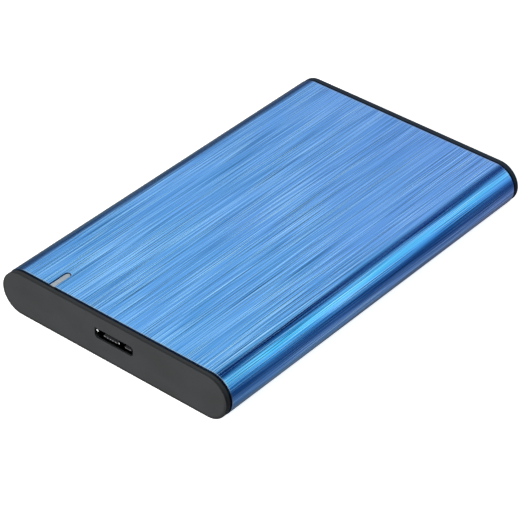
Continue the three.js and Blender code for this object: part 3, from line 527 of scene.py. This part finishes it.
MATERIALS = {
    "blue_aluminium": brushed_blue(),
    "black_plastic": case_plastic(),
    "frosted_light_guide": frosted(),
    # the port's steel is near black: painted shade for steel that sees only the dark inside of the port
    "port_steel": metal("port_steel", colour(17, 17, 18), 0.3, ALONG_Y, 0.004),
    "connector_black": moulded(
        "connector_black", colour(30, 30, 32), colour(70, 70, 72), 9.0, 0.006, 0.45
    ),
    "board_green": circuit_board(),
    "chip_black": moulded("chip_black", colour(33, 33, 35), colour(62, 62, 64), 12.0, 0.01, 0.6),
    "crystal_can": metal("crystal_can", colour(200, 201, 204), 0.26, EVEN, 0.003),
    "ferrite": speckled("ferrite", colour(62, 63, 67), colour(92, 93, 97), 5.0, 0.7),
    "capacitor_ceramic": speckled(
        "capacitor_ceramic", colour(150, 124, 96), colour(172, 146, 116), 6.0, 0.5
    ),
    "lamp_resin": lamp(),
    "foam": foam(),
    "gasket_rubber": moulded("gasket_rubber", colour(30, 30, 31), colour(46, 46, 48), 5.0, 0.02, 0.8),
    "cast_aluminium": casting(),
    "cover_steel": metal("cover_steel", colour(200, 202, 206), 0.33, ALONG_X, 0.006, anisotropic=0.3),
    "machined_aluminium": metal("machined_aluminium", colour(186, 188, 192), 0.32, EVEN, 0.006),
    "platter_coating": disc_coating(),
    "sheet_steel": metal("sheet_steel", colour(196, 198, 202), 0.3, ALONG_Y, 0.004),
    "copper_winding": winding(),
    "magnet_plating": metal("magnet_plating", colour(172, 174, 178), 0.2, EVEN, 0.004),
    "yoke_steel": metal("yoke_steel", colour(186, 188, 191), 0.26, EVEN, 0.005),
    "ramp_plastic": moulded("ramp_plastic", colour(220, 216, 206), colour(236, 233, 226), 8.0, 0.004, 0.45),
    "screw_steel": metal("screw_steel", colour(160, 162, 166), 0.3, EVEN, 0.006, spots=0.3),
}
PORT_PLASTIC = moulded("port_plastic", colour(56, 56, 58), colour(80, 80, 82), 9.0, 0.006, 0.5)
# painted glints: matt white for the port's flared guides where they catch the light
PAINTED_GLINT = speckled("painted_glint", colour(244, 244, 246), colour(255, 255, 255), 6.0, 0.3)
# painted highlights: matt light grey for the contacts' noses
CONTACT_NOSE_HIGHLIGHT = speckled("contact_nose_highlight", colour(112, 112, 114), colour(136, 136, 138), 7.0, 0.35)
GOLD = metal("gold_plate", colour(226, 184, 104), 0.22, ALONG_Y, 0.003)
SOLDER = metal("solder", colour(188, 190, 194), 0.22, EVEN, 0.01, spots=0.3)


# ---------- mesh helpers ----------


def mesh_object(name, bm, material):
    """A new object from bm, whose faces are turned outwards."""
    bmesh.ops.recalc_face_normals(bm, faces=bm.faces)
    mesh = bpy.data.meshes.new(name)
    bm.to_mesh(mesh)
    bm.free()
    made = bpy.data.objects.new(name, mesh)
    bpy.context.scene.collection.objects.link(made)
    mesh.materials.append(material)
    return made


def loft(bm, loops, ring=False):
    """Skins a row of equal loops. A ring joins the last loop to the first, otherwise the ends are capped."""
    rows = [[bm.verts.new(point) for point in loop] for loop in loops]
    following = rows[1:] + rows[:1] if ring else rows[1:]
    for near, far in zip(rows, following):
        for i in range(len(near)):
            j = (i + 1) % len(near)
            bm.faces.new((near[i], near[j], far[j], far[i]))
    if not ring:
        bm.faces.new(rows[0])
        bm.faces.new(rows[-1])


def stadium(width, height, segments=ARC_SEGMENTS):
    """(x, z) points round a flat shape with half-round ends."""
    radius = height / 2
    straight = width / 2 - radius
    points = []
    for side, start in ((1, -90), (-1, 90)):
        for i in range(segments + 1):
            angle = math.radians(start + 180 * i / segments)
            points.append((side * straight + radius * math.cos(angle), radius * math.sin(angle)))
    return points


def rounded(corners, radius, steps=4):
    """The closed outline through corners, each rounded by radius or by as much as its sides allow."""
    outline = []
    count = len(corners)
    for i in range(count):
        before, here, after = (Vector(corners[(i + k) % count]) for k in (-1, 0, 1))
        towards, away = (before - here), (after - here)
        reach = min(radius, towards.length * 0.45, away.length * 0.45)
        start = here + towards.normalized() * reach
        end = here + away.normalized() * reach
        for k in range(steps + 1):
            t = k / steps
            outline.append(tuple(start * (1 - t) ** 2 + here * 2 * t * (1 - t) + end * t**2))
    return outline


def along_y(outline, y, z=0.0):
    return [(px, y, pz + z) for px, pz in outline]


def along_z(outline, z):
    return [(px, py, z) for px, py in outline]


def prism_y(name, outline, y0, y1, material, z=0.0):
    bm = bmesh.new()
    loft(bm, [along_y(outline, y0, z), along_y(outline, y1, z)])
    return mesh_object(name, bm, material)


def prism_z(name, outline, z0, z1, material):
    bm = bmesh.new()
    loft(bm, [along_z(outline, z0), along_z(outline, z1)])
    return mesh_object(name, bm, material)


def rectangle(x0, x1, y0, y1):
    return [(x0, y0), (x1, y0), (x1, y1), (x0, y1)]


def apply_modifiers(piece):
    bpy.context.view_layer.update()
    evaluated = piece.evaluated_get(bpy.context.evaluated_depsgraph_get())
    mesh = bpy.data.meshes.new_from_object(evaluated)
    piece.modifiers.clear()
    piece.data = mesh


def combine(piece, tool, operation):
    """Cuts tool from piece, or joins it, and removes tool."""
    modifier = piece.modifiers.new("combine", "BOOLEAN")
    modifier.object = tool
    modifier.operation = operation
    modifier.solver = "EXACT"
    apply_modifiers(piece)
    bpy.data.objects.remove(tool)


def soften(piece, width, angle=SHARP, segments=2, chosen=None):
    """Rounds the edges sharper than angle, or those of them that chosen(edge) picks."""
    bm = bmesh.new()
    bm.from_mesh(piece.data)
    bmesh.ops.remove_doubles(bm, verts=bm.verts, dist=0.002 * MM)
    bmesh.ops.dissolve_limit(bm, angle_limit=math.radians(1), verts=bm.verts, edges=bm.edges)
    picked = [
        e
        for e in bm.edges
        if len(e.link_faces) == 2
        and e.calc_face_angle(0) > angle
        and (chosen is None or chosen(e))
    ]
    bmesh.ops.bevel(
        bm,
        geom=picked,
        offset=width,
        offset_type="OFFSET",
        segments=segments,
        profile=0.5,
        affect="EDGES",
        clamp_overlap=True,
    )
    bmesh.ops.recalc_face_normals(bm, faces=bm.faces)
    bm.to_mesh(piece.data)
    bm.free()


def shade(piece, angle=SHARP):
    """Smooth shading that keeps flat faces flat and stops at edges sharper than angle."""
    bm = bmesh.new()
    bm.from_mesh(piece.data)
    for face in bm.faces:
        face.smooth = True
    for edge in bm.edges:
        edge.smooth = not (len(edge.link_faces) == 2 and edge.calc_face_angle(0) > angle)
    bm.to_mesh(piece.data)
    bm.free()
    piece.modifiers.new("even_normals", "WEIGHTED_NORMAL").keep_sharp = True


def place(piece, body, slot, *nodes):
    """Puts a finished piece on its body, in place of the CAD nodes it stands for."""
    shade(piece)
    if nodes:
        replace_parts(piece, *nodes)
    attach(piece, body)


def from_cad(node, name):
    """A copy of a CAD node's mesh, welded, for rebuilding its surface."""
    bm = bmesh.new()
    bm.from_mesh(frame["nodes"][node].data)
    bmesh.ops.remove_doubles(bm, verts=bm.verts, dist=0.002 * MM)
    bmesh.ops.dissolve_limit(bm, angle_limit=math.radians(1), verts=bm.verts, edges=bm.edges)
    return mesh_object(name, bm, MATERIALS[SLOT_OF[node]])


# ---------- case ----------


def slot_cutter():
    low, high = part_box("status_light_pipe")
    x0 = low.x - SLOT_CLEARANCE * 2
    x1 = low.x + (high.x - low.x) * BAR_SHARE + SLOT_CLEARANCE
    centre = (x0 + x1) / 2
    radius = (x1 - x0) / 2
    end = high.y + SLOT_CLEARANCE - radius
    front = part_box("outer_sleeve")[0].y - 2 * MM
    outline = [(x0, front), (x1, front)]
    for i in range(25):
        angle = math.pi * i / 24
        outline.append((centre + radius * math.cos(angle), end + radius * math.sin(angle)))
    return prism_z("slot_cutter", outline, 9 * MM, 15 * MM, MATERIALS["blue_aluminium"])


def sleeve_ends():
    low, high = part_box("outer_sleeve")
    return low.y + FRONT_SETBACK, high.y + REAR_SETBACK


def sleeve():
    """The extruded tube with its light slot, its cut edges lightly chamfered."""
    low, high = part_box("outer_sleeve")
    width, height, middle = high.x - low.x, high.z - low.z, (low.z + high.z) / 2
    outer = stadium(width, height)
    inner = stadium(width - 2 * SLEEVE_WALL, height - 2 * SLEEVE_WALL)
    bm = bmesh.new()
    ends = sleeve_ends()
    loops = [along_y(outer, y, middle) for y in ends] + [along_y(inner, y, middle) for y in ends[::-1]]
    loft(bm, loops, ring=True)
    made = mesh_object("sleeve_shell", bm, MATERIALS["blue_aluminium"])
    combine(made, slot_cutter(), "DIFFERENCE")
    soften(made, 0.14 * MM, math.radians(50))
    place(made, "sleeve", "blue_aluminium", "outer_sleeve")


def flange(name, y0, y1, fillet):
    """A cap's flange: the case's cross-section with both edges rounded."""
    low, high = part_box("front_cap")
    width, height, middle = high.x - low.x, high.z - low.z, (low.z + high.z) / 2
    steps = 6
    stations = []
    for i in range(steps + 1):
        angle = math.pi / 2 * i / steps
        stations.append((y0 + fillet * (1 - math.sin(angle)), fillet * (1 - math.cos(angle))))
    stations = stations[::-1] + [(y0 + y1 - y, inset) for y, inset in stations]
    bm = bmesh.new()
    loft(bm, [along_y(stadium(width - 2 * i, height - 2 * i), y, middle) for y, i in stations])
    return mesh_object(name, bm, MATERIALS["black_plastic"])


def without_flange(node, name, y0, y1):
    """The CAD cap between y0 and y1, which leaves its flange off."""
    made = from_cad(node, name)
    box = prism_y("keep", rectangle(-50 * MM, 50 * MM, -5 * MM, 20 * MM), y0, y1, made.data.materials[0])
    combine(made, box, "INTERSECT")
    return made


def port_middle():
    low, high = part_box("port_shell")
    return (low.x + high.x) / 2, (low.z + high.z) / 2


def port_opening():
    x, z = port_middle()
    half_width, half_height, corner = 6.6 * MM, 1.55 * MM, 0.6 * MM
    z += 0.05 * MM
    corners = [
        (x - half_width + corner, z - half_height),
        (x + half_width - corner, z - half_height),
        (x + half_width, z - half_height + corner),
        (x + half_width, z + half_height - corner),
        (x + half_width - corner, z + half_height),
        (x - half_width, z + half_height),
        (x - half_width, z - half_height + corner),
    ]
    return rounded(corners, 0.25 * MM)


def front_cap():
    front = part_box("front_cap")[0].y
    made = flange("front_cap_flange", front, front + FLANGE_FRONT, 0.28 * MM)
    opening = prism_y("opening", port_opening(), front - MM, front + 3 * MM, made.data.materials[0])
    combine(made, opening, "DIFFERENCE")
    near_front = front + 0.01 * MM
    port_x, _ = port_middle()
    past_port = 7.5 * MM

    def on_lip(edge):
        return all(v.co.y < near_front and abs(v.co.x - port_x) < past_port for v in edge.verts)

    soften(made, 0.14 * MM, math.radians(50), 3, on_lip)
    place(made, "carriage", "black_plastic", "front_cap")
    inner = without_flange("front_cap", "front_cap_spigot", front + FLANGE_FRONT, front + PAST_SPIGOT)
    soften(inner, 0.1 * MM, math.radians(60))
    place(inner, "carriage", "black_plastic")


def rear_cap():
    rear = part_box("rear_cap")[1].y
    made = flange("rear_cap_flange", rear - FLANGE_REAR, rear + 0.06 * MM, 0.32 * MM)
    place(made, "sleeve", "black_plastic", "rear_cap")
    inner = without_flange("rear_cap", "rear_cap_spigot", rear - PAST_SPIGOT, rear - FLANGE_REAR)
    place(inner, "sleeve", "black_plastic")


def bar_front():
    return sleeve_ends()[0] + BAR_SETBACK


def light_bar():
    """The frosted bar in the sleeve's slot, cut off just behind the sleeve's front."""
    made = from_cad("status_light_pipe", "status_light_bar")
    low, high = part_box("status_light_pipe")
    for vertex in made.data.vertices:
        vertex.co.x = low.x + (vertex.co.x - low.x) * BAR_SHARE
    ahead = rectangle(low.x - MM, high.x + MM, BAR_FOOT_TOP, high.z + MM)
    tool = prism_y("ahead", ahead, low.y - MM, bar_front(), made.data.materials[0])
    combine(made, tool, "DIFFERENCE")
    soften(made, 0.12 * MM, math.radians(60), 3)
    place(made, "carriage", "frosted_light_guide", "status_light_pipe")


def light_slot_lip():
    """A thin black lip ahead of the light bar, which closes the slot's open front."""
    low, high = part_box("status_light_pipe")
    outline = rectangle(low.x - 0.28 * MM, high.x, 11.9 * MM, high.z - 0.06 * MM)
    back = bar_front() - 0.02 * MM
    lip = prism_y("light_slot_lip", outline, back - LIP_THICKNESS, back, PORT_PLASTIC)
    soften(lip, 0.05 * MM)
    place(lip, "carriage", "black_plastic")


# ---------- data port ----------


def port_corners(inset):
    """The port shell's outline: a wide chamber and a narrow one, parted by a fold in the top."""
    low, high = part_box("port_shell")
    x, z = port_middle()
    width = (high.x - low.x) / 2 - inset
    height = (high.z - low.z) / 2 - inset
    corner = 0.55 * MM
    left, right, depth = 1.7 * MM - inset, 2.7 * MM + inset, 1.05 * MM
    point = 0.25 * MM + inset / 2
    centre = (left + right) / 2
    corners = [
        (-width + corner, -height),
        (width - corner, -height),
        (width, -height + corner),
        (width, height),
        (right, height),
        (centre + point, height - depth),
        (centre - point, height - depth),
        (left, height),
        (-width, height),
        (-width, -height + corner),
    ]
    return rounded([(x + px, z + pz) for px, pz in corners], 0.32 * MM)


def port_shell():
    """The folded steel shell, open at the front with a flared lip."""
    low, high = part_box("port_shell")
    wall = 0.22 * MM
    outer, inner, lip = port_corners(0), port_corners(wall), port_corners(wall * 0.35)
    bm = bmesh.new()
    front = low.y + 0.15 * MM
    loops = [
        along_y(inner, high.y - wall),
        along_y(inner, front + 0.3 * MM),
        along_y(lip, front + 0.04 * MM),
        along_y(port_corners(wall * 0.2), front),
        along_y(port_corners(wall * 0.05), front + 0.03 * MM),
        along_y(outer, front + 0.1 * MM),
        along_y(outer, high.y),
    ]
    loft(bm, loops)
    made = mesh_object("port_steel_shell", bm, MATERIALS["port_steel"])
    place(made, "carriage", "port_steel", "port_shell")


def port_insulator():
    made = from_cad("port_insulator", "port_insulator_moulding")
    made.data.materials[0] = PORT_PLASTIC
    soften(made, 0.07 * MM, math.radians(50))
    place(made, "carriage", "connector_black", "port_insulator")


def leaning_plate(name, centre, width, height, lean, material):
    """A small plate that faces the front and leans forward by an angle, its edges rounded."""
    x, y, z = centre
    outline = rounded(rectangle(-width / 2, width / 2, -height / 2, height / 2), min(width, height) / 3)
    slope = math.tan(math.radians(lean))
    half = 0.04 * MM
    bm = bmesh.new()
    loft(bm, [[(x + px, y - pz * slope + dy, z + pz) for px, pz in outline] for dy in (-half, half)])
    made = mesh_object(name, bm, material)
    soften(made, 0.02 * MM)
    return made


# The shell's flared guides, painted white as glints: (x, z, width, height) from the port's middle
PORT_GLINT_GUIDES = ((-5.78, 0.88, 0.68, 0.7), (1.72, 0.36, 0.4, 0.4))


def port_glint_guides():
    x, z = port_middle()
    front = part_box("port_shell")[0].y + 0.05 * MM
    for i, (across, up, width, height) in enumerate(PORT_GLINT_GUIDES):
        centre = (x + across * MM, front, z + up * MM)
        # each guide is a matt white plate, a painted glint
        made = leaning_plate(f"port_glint_guide_{i + 1}", centre, width * MM, height * MM, 15, PAINTED_GLINT)
        place(made, "carriage", "port_steel")


def port_contacts():
    """Five flat springs under each tongue of the port, their noses bent up over its front edge and painted
    light grey as highlights.
    """
    x, z = port_middle()
    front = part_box("port_insulator")[0].y
    top = z - 0.65 * MM
    steel = MATERIALS["port_steel"]
    for side, first, pitch, half_width in (("wide", -3.6, 0.95, 0.2), ("narrow", 3.5, 0.42, 0.09)):
        half = half_width * MM
        for i in range(5):
            middle = x + (first + i * pitch) * MM
            strip = rectangle(middle - half, middle + half, front + 0.25 * MM, front + 3 * MM)
            name = f"port_contact_{side}_{i + 1}"
            made = prism_z(name, rounded(strip, half), top - 0.06 * MM, top, steel)
            place(made, "carriage", "port_steel")
            centre = (middle, front - 0.05 * MM, z - 0.28 * MM)
            # the nose is a matt light grey plate, a painted highlight
            nose = leaning_plate(name + "_nose", centre, half * 2.2, 0.26 * MM, 3, CONTACT_NOSE_HIGHLIGHT)
            place(nose, "carriage", "port_steel")


# ---------- small metalwork on the boards and the cover ----------


def block(bm, x, y, z):
    """A box between the pairs x, y and z, with its long edges slightly rounded."""
    reach = min(x[1] - x[0], y[1] - y[0]) * 0.15
    outline = rounded(rectangle(*x, *y), reach, 2)
    loft(bm, [along_z(outline, z[0]), along_z(outline, z[1])])


def leads(node, body, slot, counts, width, reach, height=0.16 * MM):
    """Soldered leads along a chip's sides: counts along its sides that face X and those that face Y."""
    low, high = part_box(node)
    middle = (low + high) / 2
    z = (low.z - 0.02 * MM, low.z + height)
    bm = bmesh.new()
    for side in (-1, 1):
        for count, along_x_axis in zip(counts, (False, True)):
            span = (high.x - low.x if along_x_axis else high.y - low.y) * 0.84
            for i in range(count):
                at = span * ((i + 0.5) / count - 0.5)
                if along_x_axis:
                    edge = middle.y + side * (high.y - low.y) / 2
                    x = (middle.x + at - width / 2, middle.x + at + width / 2)
                    y = sorted((edge - side * 0.1 * MM, edge + side * reach))
                else:
                    edge = middle.x + side * (high.x - low.x) / 2
                    x = sorted((edge - side * 0.1 * MM, edge + side * reach))
                    y = (middle.y + at - width / 2, middle.y + at + width / 2)
                block(bm, x, y, z)
    place(mesh_object(node + "_leads", bm, SOLDER), body, slot)


def end_caps(node):
    """The plated ends of a ceramic capacitor."""
    low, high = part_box(node)
    skin = 0.03 * MM
    band = 0.55 * MM
    bm = bmesh.new()
    y = (low.y - skin, high.y + skin)
    for x in ((low.x - skin, low.x + band), (high.x - band, high.x + skin)):
        block(bm, x, y, (low.z - 0.02 * MM, high.z + skin))
    place(mesh_object(node + "_ends", bm, SOLDER), "carriage", "port_steel")


def ring_plate(name, x, y, inner, outer, z0, z1, material):
    """A flat ring standing on z0."""
    turns = [2 * math.pi * i / 40 for i in range(40)]
    around = [[(x + r * math.cos(t), y + r * math.sin(t)) for t in turns] for r in (inner, outer)]
    bm = bmesh.new()
    loops = [along_z(around[1], z0), along_z(around[1], z1), along_z(around[0], z1), along_z(around[0], z0)]
    loft(bm, loops, ring=True)
    return mesh_object(name, bm, material)


def board_details():
    for node, counts, width, reach in (
        ("bridge_controller_chip", (12, 12), 0.22, 0.25),
        ("firmware_memory_chip", (0, 4), 0.42, 0.8),
        ("voltage_regulator", (0, 3), 0.4, 0.6),
        ("clock_crystal", (2, 0), 0.8, 0.2),
        ("power_inductor", (1, 0), 2.2, 0.25),
    ):
        leads(node, "carriage", "port_steel", counts, width * MM, reach * MM)
    for node in ("input_capacitor", "output_capacitor"):
        end_caps(node)
    for node in ("drive_processor_chip", "drive_cache_chip", "motor_driver_chip"):
        leads(node, "drive", "screw_steel", (16, 16), 0.2 * MM, 0.8 * MM)
    board_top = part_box("bridge_board")[1].z
    for i in (1, 2):
        low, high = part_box(f"board_screw_{i}")
        x, y = (low.x + high.x) / 2, (low.y + high.y) / 2
        bottom, top = board_top - 0.02 * MM, board_top + 0.02 * MM
        ring = ring_plate(f"board_land_{i}", x, y, 1.3 * MM, 2.35 * MM, bottom, top, GOLD)
        place(ring, "carriage", "port_steel")


# Foil seals on the drive's cover: (name, x, y from the case's middle, radius) in millimetres
COVER_SEALS = (("pivot_seal", 16.0, -23.4, 4.6), ("vent_seal", -19.0, -26.0, 3.2))


def cover_seals():
    """Thin round foils over the pivot's screw and the breathing hole in the drive's cover."""
    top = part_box("drive_cover")[1].z
    foil = metal("foil", colour(214, 216, 219), 0.16, EVEN, 0.012, spots=0.1)
    for name, x, y, radius in COVER_SEALS:
        steps = [2 * math.pi * i / 48 for i in range(48)]
        outline = [((x + radius * math.cos(t)) * MM, (y + radius * math.sin(t)) * MM) for t in steps]
        made = prism_z(name, outline, top - 0.02 * MM, top + 0.05 * MM, foil)
        soften(made, 0.03 * MM)
        place(made, "drive", "cover_steel")


# ---------- everything else, from the CAD solids ----------

EDGE_RADIUS = {
    "drive_base": 0.25,
    "drive_cover": 0.12,
    "bridge_board": 0.06,
    "drive_circuit_board": 0.06,
    "drive_receptacle": 0.12,
    "drive_plug": 0.1,
    "drive_pad": 0.25,
    "parking_ramp": 0.08,
    "platter_clamp": 0.08,
}
DEFAULT_RADIUS = 0.05


def rebuilt_pieces():
    """Every CAD node that no piece stands for yet, with softened edges."""
    stood_for = {n for o in bpy.data.objects for n in o.get("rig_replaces", [])}
    for node in sorted(set(frame["nodes"]) - stood_for):
        made = from_cad(node, node + "_finished")
        soften(made, EDGE_RADIUS.get(node, DEFAULT_RADIUS) * MM, math.radians(40))
        place(made, BODY_OF[node], SLOT_OF[node], node)


# ---------- stage ----------


def floor():
    """A pale glowing sheet under the object, clear when it is seen from below."""
    r = Recipe("pale_floor")
    mottle = r.noise((0.004,) * 3, 2.0, detail=3)
    grain = r.noise((1.2,) * 3, 5.0)
    from_below = r.add("ShaderNodeNewGeometry").outputs["Backfacing"]
    tone = r.mix(r.fit(mottle, 0.3, 0.7), colour(243, 243, 244), colour(247, 247, 247))
    r.set(Base_Color=tone, Roughness=r.fit(grain, 0.3, 0.7, 0.7, 0.85), Specular_IOR_Level=0.2)
    r.set(Emission_Color=tone, Emission_Strength=0.97, Alpha=r.maths("SUBTRACT", 1.0, from_below))
    half = 4.0
    bm = bmesh.new()
    bm.faces.new([bm.verts.new((x, y, 0)) for x, y in rectangle(-half, half, -half, half)])
    made = mesh_object("floor", bm, r.material)
    made.visible_glossy = False
    made.visible_diffuse = False


def softbox(name, direction, distance, size, power):
    """A soft square light that faces the object from a direction, and isn't seen in its metal."""
    light = bpy.data.lights.new(name, "AREA")
    light.size = size
    light.energy = power
    made = bpy.data.objects.new(name, light)
    bpy.context.scene.collection.objects.link(made)
    away = Vector(direction).normalized()
    made.location = away * distance
    made.rotation_mode = "QUATERNION"
    made.rotation_quaternion = away.to_track_quat("Z", "Y")
    made.visible_glossy = False


# What polished metal sees round the object, as (degrees from +X over the top, red, green, blue):
# two long strip lights overhead, along the object, with dark gaps between and beside them.
STRIPS = (
    (-90, 0.21, 0.21, 0.23),
    (-78, 0.25, 0.25, 0.29),
    (-66, 0.40, 0.41, 0.48),
    (-54, 0.55, 0.51, 0.62),
    (-14, 0.063, 0.125, 0.253),
    (2, 0.06, 0.123, 0.267),
    (26, 0.62, 0.88, 1.18),
    (48, 1.24, 1.64, 1.52),
    (70, 0.76, 0.95, 1.17),
    (108, 0.98, 1.03, 1.13),
    (135, 0.98, 1.03, 1.13),
    (155, 0.055, 0.08, 0.155),
    (196, 0.20, 0.22, 0.25),
    (232, 0.34, 0.38, 0.40),
    (252, 0.21, 0.21, 0.23),
    (270, 0.21, 0.21, 0.23),
)
GAP_MIDDLE = 90
GAP_HALF = 24
GAP_COLOUR = (0.0, 0.05, 0.21, 1.0)
NEAR_TINT = (0.962, 1.092, 1.05, 1.0)  # the strip lights' colour at their near and far parts
FAR_TINT = (0.966, 0.841, 0.895, 1.0)
DARK_ROOM = (0.06, 0.065, 0.08, 1.0)  # the lower part of the room behind the camera
AMBIENT = (0.12, 0.12, 0.125, 1.0)
BACKDROP = (0.95, 0.95, 0.95, 1.0)


def strip_lights(n, degrees):
    """The colours of STRIPS, blended all the way round."""
    ramp = n.add("ShaderNodeValToRGB")
    ramp.color_ramp.interpolation = "EASE"
    n.feed(ramp.inputs[0], n.fit(degrees, -90, 270))
    stops = ramp.color_ramp.elements
    for i, (angle, *hue) in enumerate(STRIPS):
        share = (angle + 90) / 360
        stop = stops[i] if i < 2 else stops.new(share)
        stop.position = share
        stop.color = (*hue, 1.0)
    return ramp.outputs[0]


def metal_room(n):
    """What metal reflects: the strip lights, the dark gap between them and the dark low front."""
    direction = n.add("ShaderNodeSeparateXYZ")
    n.feed(direction.inputs[0], n.add("ShaderNodeTexCoord").outputs["Generated"])
    x, y, z = direction.outputs
    turn = n.maths("WRAP", n.maths("ARCTAN2", z, x), 1.5 * math.pi, -0.5 * math.pi)
    degrees = n.maths("MULTIPLY", turn, 180 / math.pi)
    sideways = n.maths("ABSOLUTE", n.maths("SUBTRACT", degrees, GAP_MIDDLE))
    along = n.maths("ABSOLUTE", y)
    gap = n.fit(sideways, GAP_HALF, GAP_HALF * 0.4, smooth=True)
    gap = n.maths("MULTIPLY", gap, n.fit(along, 0.3, 0.5, smooth=True))
    gap = n.maths("MULTIPLY", gap, n.fit(along, 0.92, 0.76, smooth=True))
    seen = n.mix(gap, strip_lights(n, degrees), GAP_COLOUR)
    tint = n.mix(n.fit(along, 0.61, 0.69, smooth=True), NEAR_TINT, FAR_TINT)
    seen = n.mix(1.0, seen, tint, "MULTIPLY")
    low_in_front = n.maths("MULTIPLY", n.fit(y, 0.0, -0.3, smooth=True), n.fit(z, 0.35, 0.2))
    return n.mix(low_in_front, seen, DARK_ROOM)


def studio_world():
    """Even light on matt surfaces, long strip lights in metal, and a pale backdrop."""
    world = bpy.data.worlds.new("studio")
    bpy.context.scene.world = world
    world.use_nodes = True
    n = Nodes(world.node_tree)
    path = n.add("ShaderNodeLightPath")
    shown = n.mix(path.outputs["Is Glossy Ray"], AMBIENT, metal_room(n))
    shown = n.mix(path.outputs["Is Camera Ray"], shown, BACKDROP)
    background = n.add("ShaderNodeBackground")
    n.feed(background.inputs["Color"], shown)
    output = n.add("ShaderNodeOutputWorld")
    n.feed(output.inputs["Surface"], background.outputs[0])


def lights():
    softbox("front_softbox", (-0.15, -1.0, 0.35), 1.2, 0.8, 17.6)
    softbox("overhead_softbox", (0.1, -0.35, 1.0), 1.2, 1.0, 2.3)
    softbox("rear_softbox", (0.15, 1.0, 0.05), 1.2, 0.8, 5.0)


def camera():
    """A long lens, aimed from above and from the right of the port's end."""
    azimuth, elevation, roll = (math.radians(v) for v in (39.69, 35.97, 0.35))
    distance = 0.69
    level = math.cos(elevation)
    back = Vector((math.sin(azimuth) * level, -math.cos(azimuth) * level, math.sin(elevation)))
    right = Vector((math.cos(azimuth), math.sin(azimuth), 0))
    up = back.cross(right)
    turned_right = right * math.cos(roll) + up * math.sin(roll)
    turned_up = up * math.cos(roll) - right * math.sin(roll)
    low, high = cad_box
    made = bpy.data.objects.new("camera", bpy.data.cameras.new("camera"))
    bpy.context.scene.collection.objects.link(made)
    turn = Matrix((turned_right, turned_up, back)).transposed().to_4x4()
    made.matrix_world = Matrix.Translation((low + high) / 2 + back * distance) @ turn
    made.data.lens = 175.9
    made.data.sensor_width = 36
    made.data.shift_x = -0.0144
    made.data.shift_y = -0.0477
    bpy.context.scene.camera = made


sleeve()
front_cap()
rear_cap()
light_bar()
light_slot_lip()
port_shell()
port_insulator()
port_contacts()
port_glint_guides()
board_details()
cover_seals()
rebuilt_pieces()
floor()
studio_world()
lights()
camera()
bpy.context.scene.view_settings.view_transform = "Standard"

bpy.context.view_layer.update()
